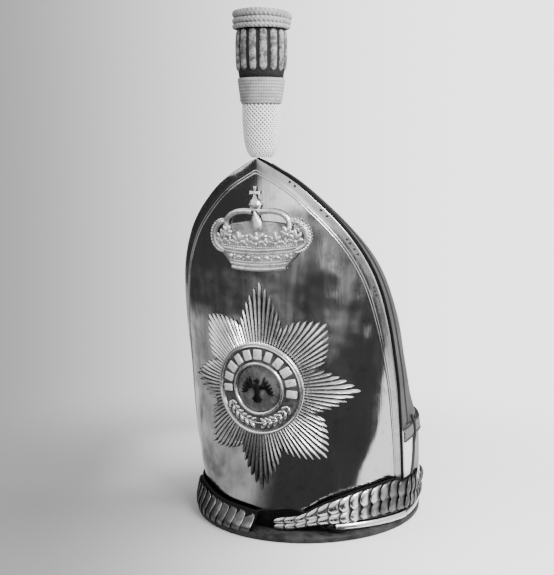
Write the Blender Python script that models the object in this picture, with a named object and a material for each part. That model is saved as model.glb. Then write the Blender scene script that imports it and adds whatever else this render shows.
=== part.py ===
"""Mitre cap: a pointed metal plate with a cast crown and star, a cloth bag behind it,
a headband, a chin strap with metal scales, a leather rim and a tall pompom.

Metres, +Z up. The plate faces -Y and the cap stands on its leather rim."""

import math

import bmesh
import bpy
import numpy as np
from mathutils import Vector

GAP = 0.0003  # left between pieces that touch

# Plate and body. The Y of these sizes counts from the middle of the rim.
PLATE_TOP = 0.280
PLATE_HALF_WIDTH = 0.0895
PLATE_FRONT = 0.0793
PLATE_LEAN = 0.009
PLATE_THICKNESS = 0.001
BAG_BACK = 0.0885
BAG_THICKNESS = 0.002
REAR_COLUMNS = 24
BINDING_RADIUS = 0.002
BINDING_PROUD = 0.0008
CORNER_BLEND = 0.012  # reach of the straps' even run over the plate's edge

# Headband and braid
HEADBAND_TOP = 0.0765
HEADBAND_THICKNESS = 0.002
HEADBAND_PROUD = 0.0008
BAG_TUCK_LENGTH = 0.009
TUCK_CLEARANCE = 0.001
BRAID_WIDTH = 0.010
BRAID_THICKNESS = 0.002
BRAID_OVER = 0.0015

# Leather rim and the metal strip on it
RIM_HALF_WIDTH = 0.0885
RIM_HALF_LENGTH = 0.095
RIM_HEIGHT = 0.0055
RIM_INSET = 0.004
TRIM_HEIGHT = 0.006
TRIM_THICKNESS = 0.005
TRIM_START = 0.0555
TRIM_END = 0.172

# Crown badge, measured along the plate
CROWN_LOW = 0.1985
CROWN_HEIGHT = 0.0625
CROWN_HALF_WIDTH = 0.0405
CROWN_THICKNESS = 0.0038
ARCH_WIDTH = 0.0043
ORB_RADIUS = 0.0053

# Star and medallion, measured along the plate
STAR_HEIGHT = 0.1118
STAR_REACH = 0.0785
STAR_SEAT = 0.0006
STAR_THICKNESS = 0.0017
STAR_POINTS = 8
RAYS_IN_POINT = 5
RING_RADIUS = 0.0344
RING_HOLE = 0.0173
RING_THICKNESS = 0.0036
RING_FLOOR = 0.0018
TABLETS = 11
LEAVES = 12
TABLET_REACH = 104  # degrees to each side of the top
LEAF_REACH = 68  # degrees to each side of the bottom
DISC_EDGE = 0.0013
DISC_DOME = 0.0018
BIRD_THICKNESS = 0.0012

# Pompom, from the plate's tip upwards
POMPOM_FRONT = 0.080
STEM_LENGTH = 0.037
STEM_FOOT_RADIUS = 0.0072
STEM_RADIUS = 0.0138
BAND_LENGTH = 0.0182
BAND_PROUD = 0.0005
BARREL_LENGTH = 0.033
BARREL_RADIUS = 0.0186
BARREL_RIBS = 14
RIB_DEPTH = 0.0016
POMPOM_RIM_LENGTH = 0.0125
POMPOM_RIM_RADIUS = 0.0207
POMPOM_RIM_CORDS = 3

# Chin strap: lengths along the body's outline from the middle of the front
RIGHT_REACH = 0.165
LEFT_REACH = 0.100
STRAP_HEIGHT = 0.0405
SCALE_PITCH = 0.0078
SCALE_DOME = 0.0036
SCALE_STEP = 0.0012
STRAP_LEATHER = 0.0018
STRAP_MARGIN = 0.0028
RIM_OVERHANG = 0.0022
TONGUE_THICKNESS = 0.0025

# One row for each level of the body. "up" is a share of PLATE_TOP, "half" and "bow" (how far
# the edge lies behind the middle) of PLATE_HALF_WIDTH, "lean" of PLATE_LEAN, "back" of BAG_BACK.
SECTION_COLUMNS = ("up", "half", "bow", "lean", "back")
SECTIONS = (
    (0.000, 0.935, 0.745, 0.00, 1.000),
    (0.077, 0.961, 0.715, 0.04, 0.994),
    (0.130, 0.983, 0.657, 0.09, 0.983),
    (0.184, 0.993, 0.620, 0.13, 0.972),
    (0.255, 0.999, 0.582, 0.18, 0.932),
    (0.327, 1.000, 0.547, 0.22, 0.810),
    (0.398, 0.997, 0.516, 0.26, 0.672),
    (0.470, 0.988, 0.468, 0.29, 0.582),
    (0.541, 0.975, 0.412, 0.31, 0.492),
    (0.595, 0.957, 0.368, 0.34, 0.407),
    (0.648, 0.932, 0.324, 0.40, 0.298),
    (0.716, 0.876, 0.264, 0.54, 0.119),
    (0.775, 0.792, 0.201, 0.67, -0.050),
    (0.832, 0.675, 0.134, 0.82, -0.254),
    (0.889, 0.512, 0.067, 0.93, -0.447),
    (0.943, 0.316, 0.022, 0.98, -0.627),
    (1.000, 0.000, 0.000, 1.00, -0.806),
)

# The scaled straps from their free ends outwards: "along" is a share of the strap's reach,
# "low" and "high" are heights as shares of STRAP_HEIGHT, "over" tells how much of the tongue's
# thickness lies under the strap.
STRAP_COLUMNS = ("along", "low", "high", "over")
RIGHT_STRAP = (
    (0.073, 0.163, 0.285, 1.0),
    (0.121, 0.168, 0.333, 1.0),
    (0.182, 0.215, 0.383, 1.0),
    (0.224, 0.255, 0.465, 1.0),
    (0.273, 0.285, 0.580, 1.0),
    (0.352, 0.300, 0.710, 0.9),
    (0.442, 0.325, 0.810, 0.3),
    (0.533, 0.355, 0.880, 0.0),
    (0.636, 0.360, 0.945, 0.0),
    (0.733, 0.340, 0.945, 0.0),
    (0.818, 0.315, 0.920, 0.0),
    (1.000, 0.310, 0.850, 0.0),
)
LEFT_STRAP = (
    (0.04, 0.130, 0.310, 1.0),
    (0.10, 0.110, 0.370, 1.0),
    (0.20, 0.088, 0.407, 0.5),
    (0.36, 0.075, 0.432, 0.0),
    (0.50, 0.075, 0.470, 0.0),
    (0.62, 0.075, 0.515, 0.0),
    (0.78, 0.080, 0.520, 0.0),
    (0.90, 0.087, 0.480, 0.0),
    (1.00, 0.100, 0.455, 0.0),
)
# The plain leather stretch round the back, from right to left: "along" is a share of it.
REAR_STRAP = (
    (0.00, 0.42, 0.80, 0.0),
    (0.40, 0.40, 0.78, 0.0),
    (0.74, 0.33, 0.70, 0.0),
    (0.90, 0.22, 0.57, 0.0),
    (1.00, 0.17, 0.50, 0.0),
)
# The tongue has shares of STRAP_HEIGHT in every column. Its free tip stands off the plate, over
# the metal strip: "off" is a share of the strip's reach.
TONGUE_COLUMNS = ("along", "low", "high", "off")
TONGUE = (
    (-0.36, 0.168, 0.330, 0.0),
    (0.28, 0.160, 0.500, 0.0),
    (0.72, 0.160, 0.520, 0.0),
    (0.94, 0.160, 0.380, 0.0),
    (1.13, 0.158, 0.205, 0.0),
    (1.35, 0.158, 0.225, 1.0),
    (1.53, 0.170, 0.195, 1.0),
)

# The bird's upright outline: "up" and "half" are shares of the disc's radius, "rise" of
# BIRD_THICKNESS.
BIRD_COLUMNS = ("up", "half", "rise")
BIRD = (
    (-0.62, 0.22, 0.5),
    (-0.42, 0.12, 0.8),
    (-0.25, 0.30, 1.0),
    (-0.12, 0.62, 0.9),
    (0.05, 0.52, 1.0),
    (0.20, 0.72, 0.9),
    (0.32, 0.46, 0.9),
    (0.44, 0.12, 1.0),
    (0.62, 0.09, 0.7),
)

# The crown's solid part, level by level, jewelled band below and leaves above it: "up" is a
# share of CROWN_HEIGHT, "half" of CROWN_HALF_WIDTH, "rise" of CROWN_THICKNESS.
CROWN_COLUMNS = ("up", "half", "rise")
CROWN_LEVELS = (
    (0.000, 0.535, 0.70),
    (0.045, 0.560, 0.95),
    (0.125, 0.630, 0.70),
    (0.150, 0.650, 0.95),
    (0.230, 0.740, 0.95),
    (0.255, 0.770, 0.70),
    (0.330, 0.850, 0.80),
    (0.400, 0.790, 0.90),
    (0.470, 0.690, 0.90),
    (0.530, 0.540, 0.70),
)
# Paths of the arches, the cross and its bar, as shares of the crown's half width and height
# and of ARCH_WIDTH.
ARCH_COLUMNS = ("across", "up", "width")
INNER_ARCH = (
    (0.06, 0.690, 1.0),
    (0.20, 0.700, 1.0),
    (0.36, 0.694, 1.0),
    (0.50, 0.668, 1.0),
    (0.61, 0.610, 1.0),
    (0.64, 0.520, 1.1),
    (0.58, 0.420, 1.2),
)
OUTER_ARCH = (
    (0.60, 0.570, 0.9),
    (0.74, 0.575, 1.0),
    (0.86, 0.530, 1.2),
    (0.93, 0.455, 1.3),
    (0.94, 0.370, 1.3),
    (0.87, 0.300, 1.3),
    (0.74, 0.280, 1.0),
)
MIDDLE_ARCH = ((0.0, 0.720, 0.9), (0.0, 0.620, 1.1), (0.0, 0.500, 1.6))
CROSS_POST = ((0.0, 0.800, 0.65), (0.0, 0.860, 0.7), (0.0, 0.920, 0.55), (0.0, 1.000, 0.8))
CROSS_BAR = ((-0.15, 0.915, 0.7), (-0.05, 0.920, 0.5), (0.05, 0.920, 0.5), (0.15, 0.915, 0.7))


def read_table(columns, rows, name, at):
    """Smooth value of one column where the table's first column equals at."""
    keys = np.array([row[0] for row in rows])
    values = np.array([row[columns.index(name)] for row in rows])
    slopes = np.gradient(values, keys)
    at = min(max(at, keys[0]), keys[-1])
    i = min(int(np.searchsorted(keys, at, side="right")) - 1, len(keys) - 2)
    span = keys[i + 1] - keys[i]
    t = (at - keys[i]) / span
    start = (1 + 2 * t) * (1 - t) ** 2 * values[i] + t * (1 - t) ** 2 * span * slopes[i]
    end = t**2 * (3 - 2 * t) * values[i + 1] - t**2 * (1 - t) * span * slopes[i + 1]
    return float(start + end)


def named_rows(columns, rows):
    return [dict(zip(columns, row)) for row in rows]


def section(z):
    """Half width, front, edge and back of the body's level section at height z."""
    up = z / PLATE_TOP
    half = PLATE_HALF_WIDTH * read_table(SECTION_COLUMNS, SECTIONS, "half", up)
    front = -PLATE_FRONT - PLATE_LEAN * read_table(SECTION_COLUMNS, SECTIONS, "lean", up)
    edge = front + PLATE_HALF_WIDTH * read_table(SECTION_COLUMNS, SECTIONS, "bow", up)
    back = BAG_BACK * read_table(SECTION_COLUMNS, SECTIONS, "back", up)
    return half, front, edge, back


def plate_arc(z):
    """Radius of the plate's arc at height z and the angle from its middle to its edge."""
    half, front, edge, _ = section(z)
    bow = max(edge - front, PLATE_HALF_WIDTH * 1e-4)
    radius = (half**2 + bow**2) / (2 * bow)
    return radius, math.asin(min(half / radius, 1.0))


def plate_spot(across, z, out):
    """Point a length across from the plate's centre line, at height z, stood out from the plate."""
    radius, _ = plate_arc(z)
    front = section(z)[1]
    turn = across / radius
    reach = radius + out
    return Vector((reach * math.sin(turn), front + radius - reach * math.cos(turn), z))


def binding_centre(z, side):
    """Centre of the binding behind the plate's edge at height z."""
    half, _, edge, _ = section(z)
    _, widest = plate_arc(z)
    behind = PLATE_THICKNESS * math.cos(widest) + 3 * GAP + BINDING_RADIUS
    inward = min(BINDING_RADIUS - BINDING_PROUD, half)
    return Vector((side * (half - inward), edge + behind, z))


def rear_start(z):
    """How far behind the plate's edge the body behind the slanting binding starts."""
    step = PLATE_TOP / 200
    run = binding_centre(z + step, 1) - binding_centre(z - step, 1)
    run.normalize()
    reach = BINDING_RADIUS * math.sqrt(1 - run.x**2) / run.z
    return binding_centre(z, 1).y - section(z)[2] + reach + 1.5 * GAP


def rear_spot(turn, z, out):
    """Point of the body behind the binding: turn runs from the right side round to the left."""
    half, _, edge, back = section(z)
    start = edge + rear_start(z)
    x = math.cos(turn) / half
    y = math.sin(turn) / (back - start)
    size = math.hypot(x, y)
    return Vector(
        (
            half * math.cos(turn) + out * x / size,
            start + (back - start) * math.sin(turn) + out * y / size,
            z,
        )
    )


def girth(z):
    """The right half of the level outline at height z, from the front's middle to the back's:
    lengths along it, X, Y and the direction that faces out, evened where plate meets band."""
    half, front, edge, back = section(z)
    start = edge + rear_start(z)
    radius, widest = plate_arc(z)
    turns = np.linspace(0, widest, 40)
    sweep = np.linspace(0, math.pi / 2, 60)
    x = np.concatenate([radius * np.sin(turns), half * np.cos(sweep)])
    y = np.concatenate([front + radius - radius * np.cos(turns), start + (back - start) * np.sin(sweep)])
    facing = np.concatenate([turns, np.arctan2(np.cos(sweep) / half, -np.sin(sweep) / (back - start))])
    along = np.concatenate([[0], np.cumsum(np.hypot(np.diff(x), np.diff(y)))])
    reach = CORNER_BLEND * np.linspace(-1, 1, 13)
    spread = along[:, None] + reach[None, :]
    signs = np.where(spread < 0, -1, 1)
    evened = (signs * np.interp(np.abs(spread), along, facing)).mean(axis=1)
    return along, x, y, evened


def girth_frame(along, z):
    """Point on the level outline a length along from the front, to the left where it is
    negative, with the directions along it and out of it."""
    lengths, xs, ys, facings = girth(z)
    side = -1 if along < 0 else 1
    x = side * np.interp(abs(along), lengths, xs)
    y = np.interp(abs(along), lengths, ys)
    facing = side * np.interp(abs(along), lengths, facings)
    outward = Vector((math.sin(facing), -math.cos(facing), 0))
    forward = Vector((math.cos(facing), math.sin(facing), 0))
    return Vector((x, y, z)), forward, outward


def girth_spot(along, z, out):
    spot, _, outward = girth_frame(along, z)
    return spot + outward * out


def round_back(first, last, share, z, out):
    """Point on the way round the back from a length along the right side to one along the
    left side."""
    total = float(girth(z)[0][-1])
    if share <= 0.5:
        return girth_spot(first + (total - first) * 2 * share, z, out)
    return girth_spot(-(total + (last - total) * (2 * share - 1)), z, out)


def skin(bm, rows, around=False):
    """Quads between rows of points. Seen from outside, points run to the right and rows up."""
    grid = [[bm.verts.new(point) for point in row] for row in rows]
    for low, high in zip(grid, grid[1:]):
        count = len(low)
        for i in range(count if around else count - 1):
            j = (i + 1) % count
            bm.faces.new((low[i], low[j], high[j], high[i]))
    return grid


def body(bm, rings, endless=False):
    """A closed body through rings of points, with flat ends or running back into itself."""
    grid = skin(bm, rings, around=True)
    if endless:
        for i in range(len(grid[0])):
            j = (i + 1) % len(grid[0])
            bm.faces.new((grid[-1][i], grid[-1][j], grid[0][j], grid[0][i]))
    else:
        bm.faces.new(list(reversed(grid[0])))
        bm.faces.new(grid[-1])
    bmesh.ops.recalc_face_normals(bm, faces=bm.faces)


def add_object(name, bm, material, sharp=40):
    mesh = bpy.data.meshes.new(name)
    bm.to_mesh(mesh)
    bm.free()
    mesh.materials.append(material)
    mesh.shade_smooth()
    mesh.set_sharp_from_angle(angle=math.radians(sharp))
    thing = bpy.data.objects.new(name, mesh)
    bpy.context.scene.collection.objects.link(thing)
    return thing


def add_wall(thing, thickness):
    """Gives an open sheet its thickness, inwards."""
    solidify = thing.modifiers.new("Wall", "SOLIDIFY")
    solidify.thickness = thickness
    solidify.offset = -1
    return thing


def fuse(thing, others):
    """Joins other closed bodies to this one."""
    for other in others:
        union = thing.modifiers.new("Fuse", "BOOLEAN")
        union.operation = "UNION"
        union.object = other
        other.hide_render = True
        other.display_type = "WIRE"
    return thing


def make_material(name, color, roughness, metallic=0.0):
    material = bpy.data.materials.new(name)
    material.use_nodes = True
    shader = material.node_tree.nodes["Principled BSDF"]
    shader.inputs["Base Color"].default_value = (*color, 1)
    shader.inputs["Roughness"].default_value = roughness
    shader.inputs["Metallic"].default_value = metallic
    material.diffuse_color = (*color, 1)
    return material


def plate_foot():
    return RIM_HEIGHT + GAP


def edge_heights(low, high, rows):
    """Heights at equal steps along the plate's edge."""
    fine = np.linspace(low, high, 200)
    edge = np.array([(section(z)[0], section(z)[2], z) for z in fine])
    lengths = np.concatenate([[0], np.cumsum(np.linalg.norm(np.diff(edge, axis=0), axis=1))])
    return [float(z) for z in np.interp(np.linspace(0, lengths[-1], rows + 1), lengths, fine)]


def make_front_plate(metal):
    """Bowed sheet: wide and strongly curved below, flat and pointed above."""
    rows = 17
    columns = 20
    heights = edge_heights(plate_foot(), PLATE_TOP, rows)
    bm = bmesh.new()
    sheet = []
    for z in heights[:-1]:
        radius, widest = plate_arc(z)
        reach = radius * widest
        sheet.append([plate_spot(reach * (2 * i / columns - 1), z, 0) for i in range(columns + 1)])
    grid = skin(bm, sheet)
    tip = bm.verts.new(plate_spot(0, PLATE_TOP, 0))
    for left, right in zip(grid[-1], grid[-1][1:]):
        bm.faces.new((left, right, tip))
    return add_wall(add_object("front_plate", bm, metal), PLATE_THICKNESS)


def binding_top():
    return PLATE_TOP + BINDING_RADIUS - BINDING_PROUD * 2


def make_edge_binding(leather):
    """Round leather edge that runs up behind one edge of the plate, over its tip and down."""
    sides = 6
    rows = 22
    heights = edge_heights(plate_foot(), PLATE_TOP - BINDING_PROUD * 2, rows)
    left = [binding_centre(z, -1) for z in heights[:-1]]
    right = [binding_centre(z, 1) for z in reversed(heights[:-1])]
    tip = binding_centre(heights[-1], 1)
    tip.x = 0
    path = left + [tip] + right
    bm = bmesh.new()
    rings = []
    for i, centre in enumerate(path):
        run = (path[min(i + 1, len(path) - 1)] - path[max(i - 1, 0)]).normalized()
        if i in (0, len(path) - 1):
            run = Vector((0, 0, 1 if i == 0 else -1))
        rearward = (Vector((0, 1, 0)) - run * run.y).normalized()
        sideways = run.cross(rearward)
        ring = []
        for k in range(sides):
            turn = 2 * math.pi * k / sides
            ring.append(centre + BINDING_RADIUS * (rearward * math.cos(turn) + sideways * math.sin(turn)))
        rings.append(ring)
    body(bm, rings)
    return add_object("edge_binding", bm, leather, 60)


def rear_row(z, out):
    """Points round the body from just behind the right binding to the left one."""
    return [rear_spot(math.pi * i / REAR_COLUMNS, z, out) for i in range(REAR_COLUMNS + 1)]


def make_bag(cloth):
    """Cloth shell from the headband up and forward to the plate's tip, open below and in front."""
    rows = 11
    tucked = HEADBAND_PROUD - HEADBAND_THICKNESS - TUCK_CLEARANCE
    low = HEADBAND_TOP - BAG_TUCK_LENGTH
    free = HEADBAND_TOP + BAG_TUCK_LENGTH / 2
    high = PLATE_TOP - 2 * BINDING_RADIUS
    sheet = [rear_row(low, tucked), rear_row(HEADBAND_TOP, tucked)]
    sheet += [rear_row(z, 0) for z in edge_heights(free, high, rows)]
    bm = bmesh.new()
    grid = skin(bm, sheet)
    bm.faces.new(grid[-1])
    return add_wall(add_object("bag", bm, cloth, 60), BAG_THICKNESS)


def make_headband(cloth):
    """Upright band round the sides and back."""
    rows = 5
    heights = [plate_foot() + (HEADBAND_TOP - plate_foot()) * i / rows for i in range(rows + 1)]
    bm = bmesh.new()
    skin(bm, [rear_row(z, HEADBAND_PROUD) for z in heights])
    return add_wall(add_object("headband", bm, cloth), HEADBAND_THICKNESS)


def make_headband_braid(cloth):
    """Flat braid that covers the headband's top edge."""
    out = HEADBAND_PROUD + GAP + BRAID_THICKNESS
    high = HEADBAND_TOP + BRAID_OVER
    heights = (high - BRAID_WIDTH, HEADBAND_TOP - BRAID_WIDTH / 3, HEADBAND_TOP, high)
    bm = bmesh.new()
    skin(bm, [rear_row(z, out) for z in heights])
    return add_wall(add_object("headband_braid", bm, cloth), BRAID_THICKNESS)


def rim_inner(turn):
    """Point of the head opening's edge at one angle about the rim's middle."""
    lengths, xs, ys, facings = girth(RIM_HEIGHT)
    xs = xs - RIM_INSET * np.sin(facings)
    ys = ys + RIM_INSET * np.cos(facings)
    angle = math.atan2(abs(math.cos(turn)), -math.sin(turn))
    angles = np.arctan2(xs, -ys)
    radius = float(np.interp(angle, angles, np.hypot(xs, ys)))
    return Vector((radius * math.cos(turn), radius * math.sin(turn), 0))


def make_base_rim(leather):
    """Flared leather ledge: an oval outside, the cap's own outline inside."""
    steps = 44
    profile = ((0, 0), (0, 0.6), (0.18, 0.86), (0.42, 1), (1, 1), (1, 0))
    rings = []
    for i in range(steps):
        turn = 2 * math.pi * i / steps
        outer = Vector((RIM_HALF_WIDTH * math.cos(turn), RIM_HALF_LENGTH * math.sin(turn), 0))
        inner = rim_inner(turn)
        rings.append([outer.lerp(inner, way) + Vector((0, 0, RIM_HEIGHT * up)) for way, up in profile])
    bm = bmesh.new()
    body(bm, rings, endless=True)
    return add_object("base_rim", bm, leather)


def make_base_trim(metal):
    """Rounded metal strip that stands on the rim, from right of the front round the back."""
    steps = 44
    low = RIM_HEIGHT + GAP
    start = HEADBAND_PROUD + GAP
    profile = ((0, 0), (0.8, 0.06), (1, 0.4), (0.6, 0.95), (0, 1))
    rings = []
    for i in range(steps + 1):
        spots = [(low + TRIM_HEIGHT * up, start + TRIM_THICKNESS * way) for way, up in profile]
        rings.append([round_back(TRIM_START, TRIM_END, i / steps, z, out) for z, out in spots])
    bm = bmesh.new()
    body(bm, rings)
    return add_object("base_trim", bm, metal)


def on_plate(across, up, out):
    """Point of the star at lengths across and up from its middle."""
    return plate_spot(across, STAR_HEIGHT + up, out)


def polar_rings(columns, base):
    """Outlines round the star's middle. Each column is an angle with its own outline of radius
    and height pairs over the base."""
    rings = []
    for angle, outline in columns:
        ring = [on_plate(r * math.sin(angle), r * math.cos(angle), base + up) for r, up in outline]
        rings.append(ring)
    return rings


def ray_length(point, ray):
    """Reach of one ray, as a share of STAR_REACH: upright and level points are slim and long,
    slanting ones broad with stepped tips."""
    off_middle = abs(2 * ray / (RAYS_IN_POINT - 1) - 1)
    if point % 2:
        return 0.87 - 0.06 * off_middle - 0.16 * off_middle**2
    return (1.0 if point % 4 == 0 else 0.95) - 0.36 * off_middle


def make_star_rays(metal):
    """Eight-pointed star of ridged rays, bent to the plate, with lower valleys between them."""
    rays = [ray_length(point, ray) for point in range(STAR_POINTS) for ray in range(RAYS_IN_POINT)]
    count = len(rays)
    steps = 3
    inner = RING_RADIUS * 0.75
    ridge = STAR_THICKNESS
    valley = STAR_THICKNESS * 0.45
    behind = 0.035
    first = -(RAYS_IN_POINT - 1) / 2
    rings = []
    for i in range(2 * count):
        angle = 2 * math.pi * (first + i / 2) / count
        if i % 2 == 0:
            reach, height = rays[i // 2], ridge
        else:
            reach, height = min(rays[i // 2], rays[(i // 2 + 1) % count]) - behind, valley
        reach *= STAR_REACH
        radii = [inner + (reach - inner) * k / steps for k in range(steps + 1)]
        tops = [height if k < steps else valley * 0.6 for k in range(steps + 1)]
        outline = list(zip(radii, tops)) + [(r, 0) for r in reversed(radii)]
        rings.append((angle, outline))
    bm = bmesh.new()
    body(bm, polar_rings(rings, STAR_SEAT), endless=True)
    bmesh.ops.triangulate(bm, faces=bm.faces, quad_method="SHORT_EDGE")
    return add_object("star_rays", bm, metal, 20)


def medallion_base():
    return STAR_SEAT + STAR_THICKNESS + GAP


def ring_floor():
    """Height of the ring's sunk band over the plate."""
    return medallion_base() + RING_FLOOR


def make_medallion_ring(metal):
    """Raised outer and inner rings with a sunk band between them."""
    steps = 32
    width = RING_RADIUS - RING_HOLE
    floor = RING_FLOOR / RING_THICKNESS
    profile = (
        (0, 0),
        (0, 0.85),
        (0.08, 1),
        (0.15, floor),
        (0.78, floor),
        (0.83, 1),
        (0.95, 1),
        (1, 0.6),
        (1, 0),
        (0.5, 0),
    )
    outline = [(RING_HOLE + width * way, RING_THICKNESS * up) for way, up in profile]
    columns = [(2 * math.pi * i / steps, outline) for i in range(steps)]
    bm = bmesh.new()
    body(bm, polar_rings(columns, medallion_base()), endless=True)
    return add_object("medallion_ring", bm, metal)


def band_relief(name, first, last, count, shape, metal):
    """A row of raised figures joined by a thin web, in the ring's sunk band. The shape gives
    inner edge, outer edge and height for each step of one figure, as shares."""
    width = RING_RADIUS - RING_HOLE
    low = RING_HOLE + width * 0.22
    high = RING_HOLE + width * 0.72
    columns = []
    for i in range(count):
        for way, inner, outer, up in shape:
            angle = first + (last - first) * (i + way) / count
            near = low + (high - low) * inner
            far = low + (high - low) * outer
            top = (RING_THICKNESS - RING_FLOOR) * up
            columns.append((angle, [(near, 0), (near, top), (far, top), (far, 0)]))
    bm = bmesh.new()
    body(bm, polar_rings(columns, ring_floor() + GAP))
    return add_object(name, bm, metal)


def make_medallion_tablets(metal):
    """Plain raised tablets over the upper part of the band."""
    tablet = ((0.0, 0.3, 0.7, 0.3), (0.18, 0.0, 1.0, 0.9), (0.7, 0.0, 1.0, 0.9), (0.88, 0.3, 0.7, 0.3))
    reach = math.radians(TABLET_REACH)
    return band_relief("medallion_tablets", -reach, reach, TABLETS, tablet, metal)


def make_laurel_sprigs(metal):
    """Leaves along a stem over the lower part of the band."""
    leaf = ((0.0, 0.35, 0.65, 0.4), (0.45, 0.0, 1.0, 0.9), (0.6, 0.1, 0.9, 0.7))
    reach = math.radians(LEAF_REACH)
    return band_relief("laurel_sprigs", math.pi - reach, math.pi + reach, LEAVES, leaf, metal)


def disc_height(r):
    """Height of the domed disc over the plate at radius r."""
    share = r / (RING_HOLE - GAP)
    return medallion_base() + DISC_EDGE + DISC_DOME * (1 - share**2)


def make_medallion_disc(enamel):
    """Domed disc inside the inner ring."""
    steps = 24
    edge = RING_HOLE - GAP
    radii = (edge * 0.06, edge * 0.5, edge * 0.8, edge)
    bm = bmesh.new()
    rings = []
    for i in range(steps):
        angle = 2 * math.pi * i / steps
        outline = [(r, disc_height(r)) for r in radii] + [(r, medallion_base()) for r in reversed(radii)]
        rings.append([on_plate(r * math.sin(angle), r * math.cos(angle), out) for r, out in outline])
    grid = skin(bm, rings)
    for i in range(len(grid[0]) - 1):
        bm.faces.new((grid[-1][i], grid[-1][i + 1], grid[0][i + 1], grid[0][i]))
    bm.faces.new([ring[0] for ring in grid])
    bm.faces.new([ring[-1] for ring in grid])
    bmesh.ops.recalc_face_normals(bm, faces=bm.faces)
    return add_object("medallion_disc", bm, enamel, 60)


def make_heraldic_bird(enamel):
    """Small bird with spread wings on the disc."""
    edge = RING_HOLE - GAP
    rings = []
    for row in named_rows(BIRD_COLUMNS, BIRD):
        up = edge * row["up"]
        tops = []
        lows = []
        for side in (-1, -0.5, 0, 0.5, 1):
            across = edge * row["half"] * side
            level = disc_height(math.hypot(across, up)) + GAP
            height = BIRD_THICKNESS * row["rise"] * (1 - 0.4 * side**2)
            tops.append(on_plate(across, up, level + height))
            lows.append(on_plate(across, up, level))
        rings.append(tops + lows[::-1])
    bm = bmesh.new()
    body(bm, rings)
    return add_object("heraldic_bird", bm, enamel)


def crown_point(across, up, out):
    """Point of the crown at a length across and a share of its height."""
    return plate_spot(across, CROWN_LOW + CROWN_HEIGHT * up, GAP + out)


def crown_strip(name, path, side, edge, top, metal):
    """One arch or bar of the crown along its path: edge and top are heights of its section."""
    rows = named_rows(ARCH_COLUMNS, path)
    rings = []
    for i, row in enumerate(rows):
        before = rows[max(i - 1, 0)]
        after = rows[min(i + 1, len(rows) - 1)]
        across = (after["across"] - before["across"]) * CROWN_HALF_WIDTH
        run = Vector((across, (after["up"] - before["up"]) * CROWN_HEIGHT)).normalized()
        ring = []
        for way, rise in ((-0.5, edge), (-0.32, top), (0.32, top), (0.5, edge)):
            shift = ARCH_WIDTH * row["width"] * way
            sideways = side * (CROWN_HALF_WIDTH * row["across"] - run.y * shift)
            up = row["up"] + run.x * shift / CROWN_HEIGHT
            ring.append(crown_point(sideways, up, CROWN_THICKNESS * rise))
        rings.append(ring)
    bm = bmesh.new()
    body(bm, rings)
    return add_object(name, bm, metal)


def make_orb(metal):
    """Ball under the cross, cut flat towards the plate."""
    steps = 12
    rings = []
    for share, rise in ((1.0, 0.02), (1.0, 0.55), (0.82, 0.95), (0.45, 1.2), (0.08, 1.3)):
        ring = []
        for i in range(steps):
            turn = 2 * math.pi * i / steps
            up = 0.765 + ORB_RADIUS * share * math.cos(turn) / CROWN_HEIGHT
            ring.append(crown_point(ORB_RADIUS * share * math.sin(turn), up, CROWN_THICKNESS * rise))
        rings.append(ring)
    bm = bmesh.new()
    body(bm, rings)
    return add_object("crown_orb", bm, metal, 60)


def make_crown_badge(metal):
    """Cast crown: solid band and leaves, pierced between the arches, with an orb and a cross."""
    sides = (-1, -0.72, -0.36, 0, 0.36, 0.72, 1)
    rings = []
    for level in named_rows(CROWN_COLUMNS, CROWN_LEVELS):
        reach = CROWN_HALF_WIDTH * level["half"]
        tops = []
        for side in sides:
            rise = CROWN_THICKNESS * level["rise"] * (1 - 0.3 * side**4)
            tops.append(crown_point(reach * side, level["up"], rise))
        lows = [crown_point(reach * side, level["up"], 0) for side in reversed(sides)]
        rings.append(tops + lows)
    bm = bmesh.new()
    body(bm, rings)
    crown = add_object("crown_badge", bm, metal, 30)
    pieces = []
    for side, word in ((-1, "left"), (1, "right")):
        pieces.append(crown_strip("crown_inner_arch_" + word, INNER_ARCH, side, 0.12, 1.00, metal))
        pieces.append(crown_strip("crown_outer_arch_" + word, OUTER_ARCH, side, 0.08, 0.85, metal))
    pieces.append(crown_strip("crown_middle_arch", MIDDLE_ARCH, 1, 0.05, 1.10, metal))
    pieces.append(make_orb(metal))
    pieces.append(crown_strip("crown_cross_post", CROSS_POST, 1, 0.16, 0.75, metal))
    pieces.append(crown_strip("crown_cross_bar", CROSS_BAR, 1, 0.20, 0.70, metal))
    return fuse(crown, pieces)


def turned(name, profile, material, steps=20, groove=0):
    """Upright turned piece of the pompom from radius and height pairs. With a groove, every
    second pair of its columns lies that much deeper."""
    rings = []
    for radius, z in profile:
        ring = []
        for i in range(steps):
            turn = 2 * math.pi * i / steps
            reach = radius - (groove if i % 4 in (2, 3) else 0)
            ring.append(Vector((reach * math.cos(turn), -POMPOM_FRONT + reach * math.sin(turn), z)))
        rings.append(ring)
    bm = bmesh.new()
    body(bm, rings)
    return add_object(name, bm, material)


def stem_low():
    return binding_top() + GAP


def band_low():
    return stem_low() + STEM_LENGTH + GAP


def barrel_low():
    return band_low() + BAND_LENGTH + GAP


def rim_cords_low():
    return barrel_low() + BARREL_LENGTH + GAP


def make_pompom_stem(net):
    """Stem that swells from the cap's tip upwards."""
    swell = STEM_RADIUS - STEM_FOOT_RADIUS
    profile = []
    for way, up in ((0, 0), (0.35, 0.07), (0.7, 0.24), (0.92, 0.55), (1, 1)):
        profile.append((STEM_FOOT_RADIUS + swell * way, stem_low() + STEM_LENGTH * up))
    return turned("pompom_stem", profile, net)


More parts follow.
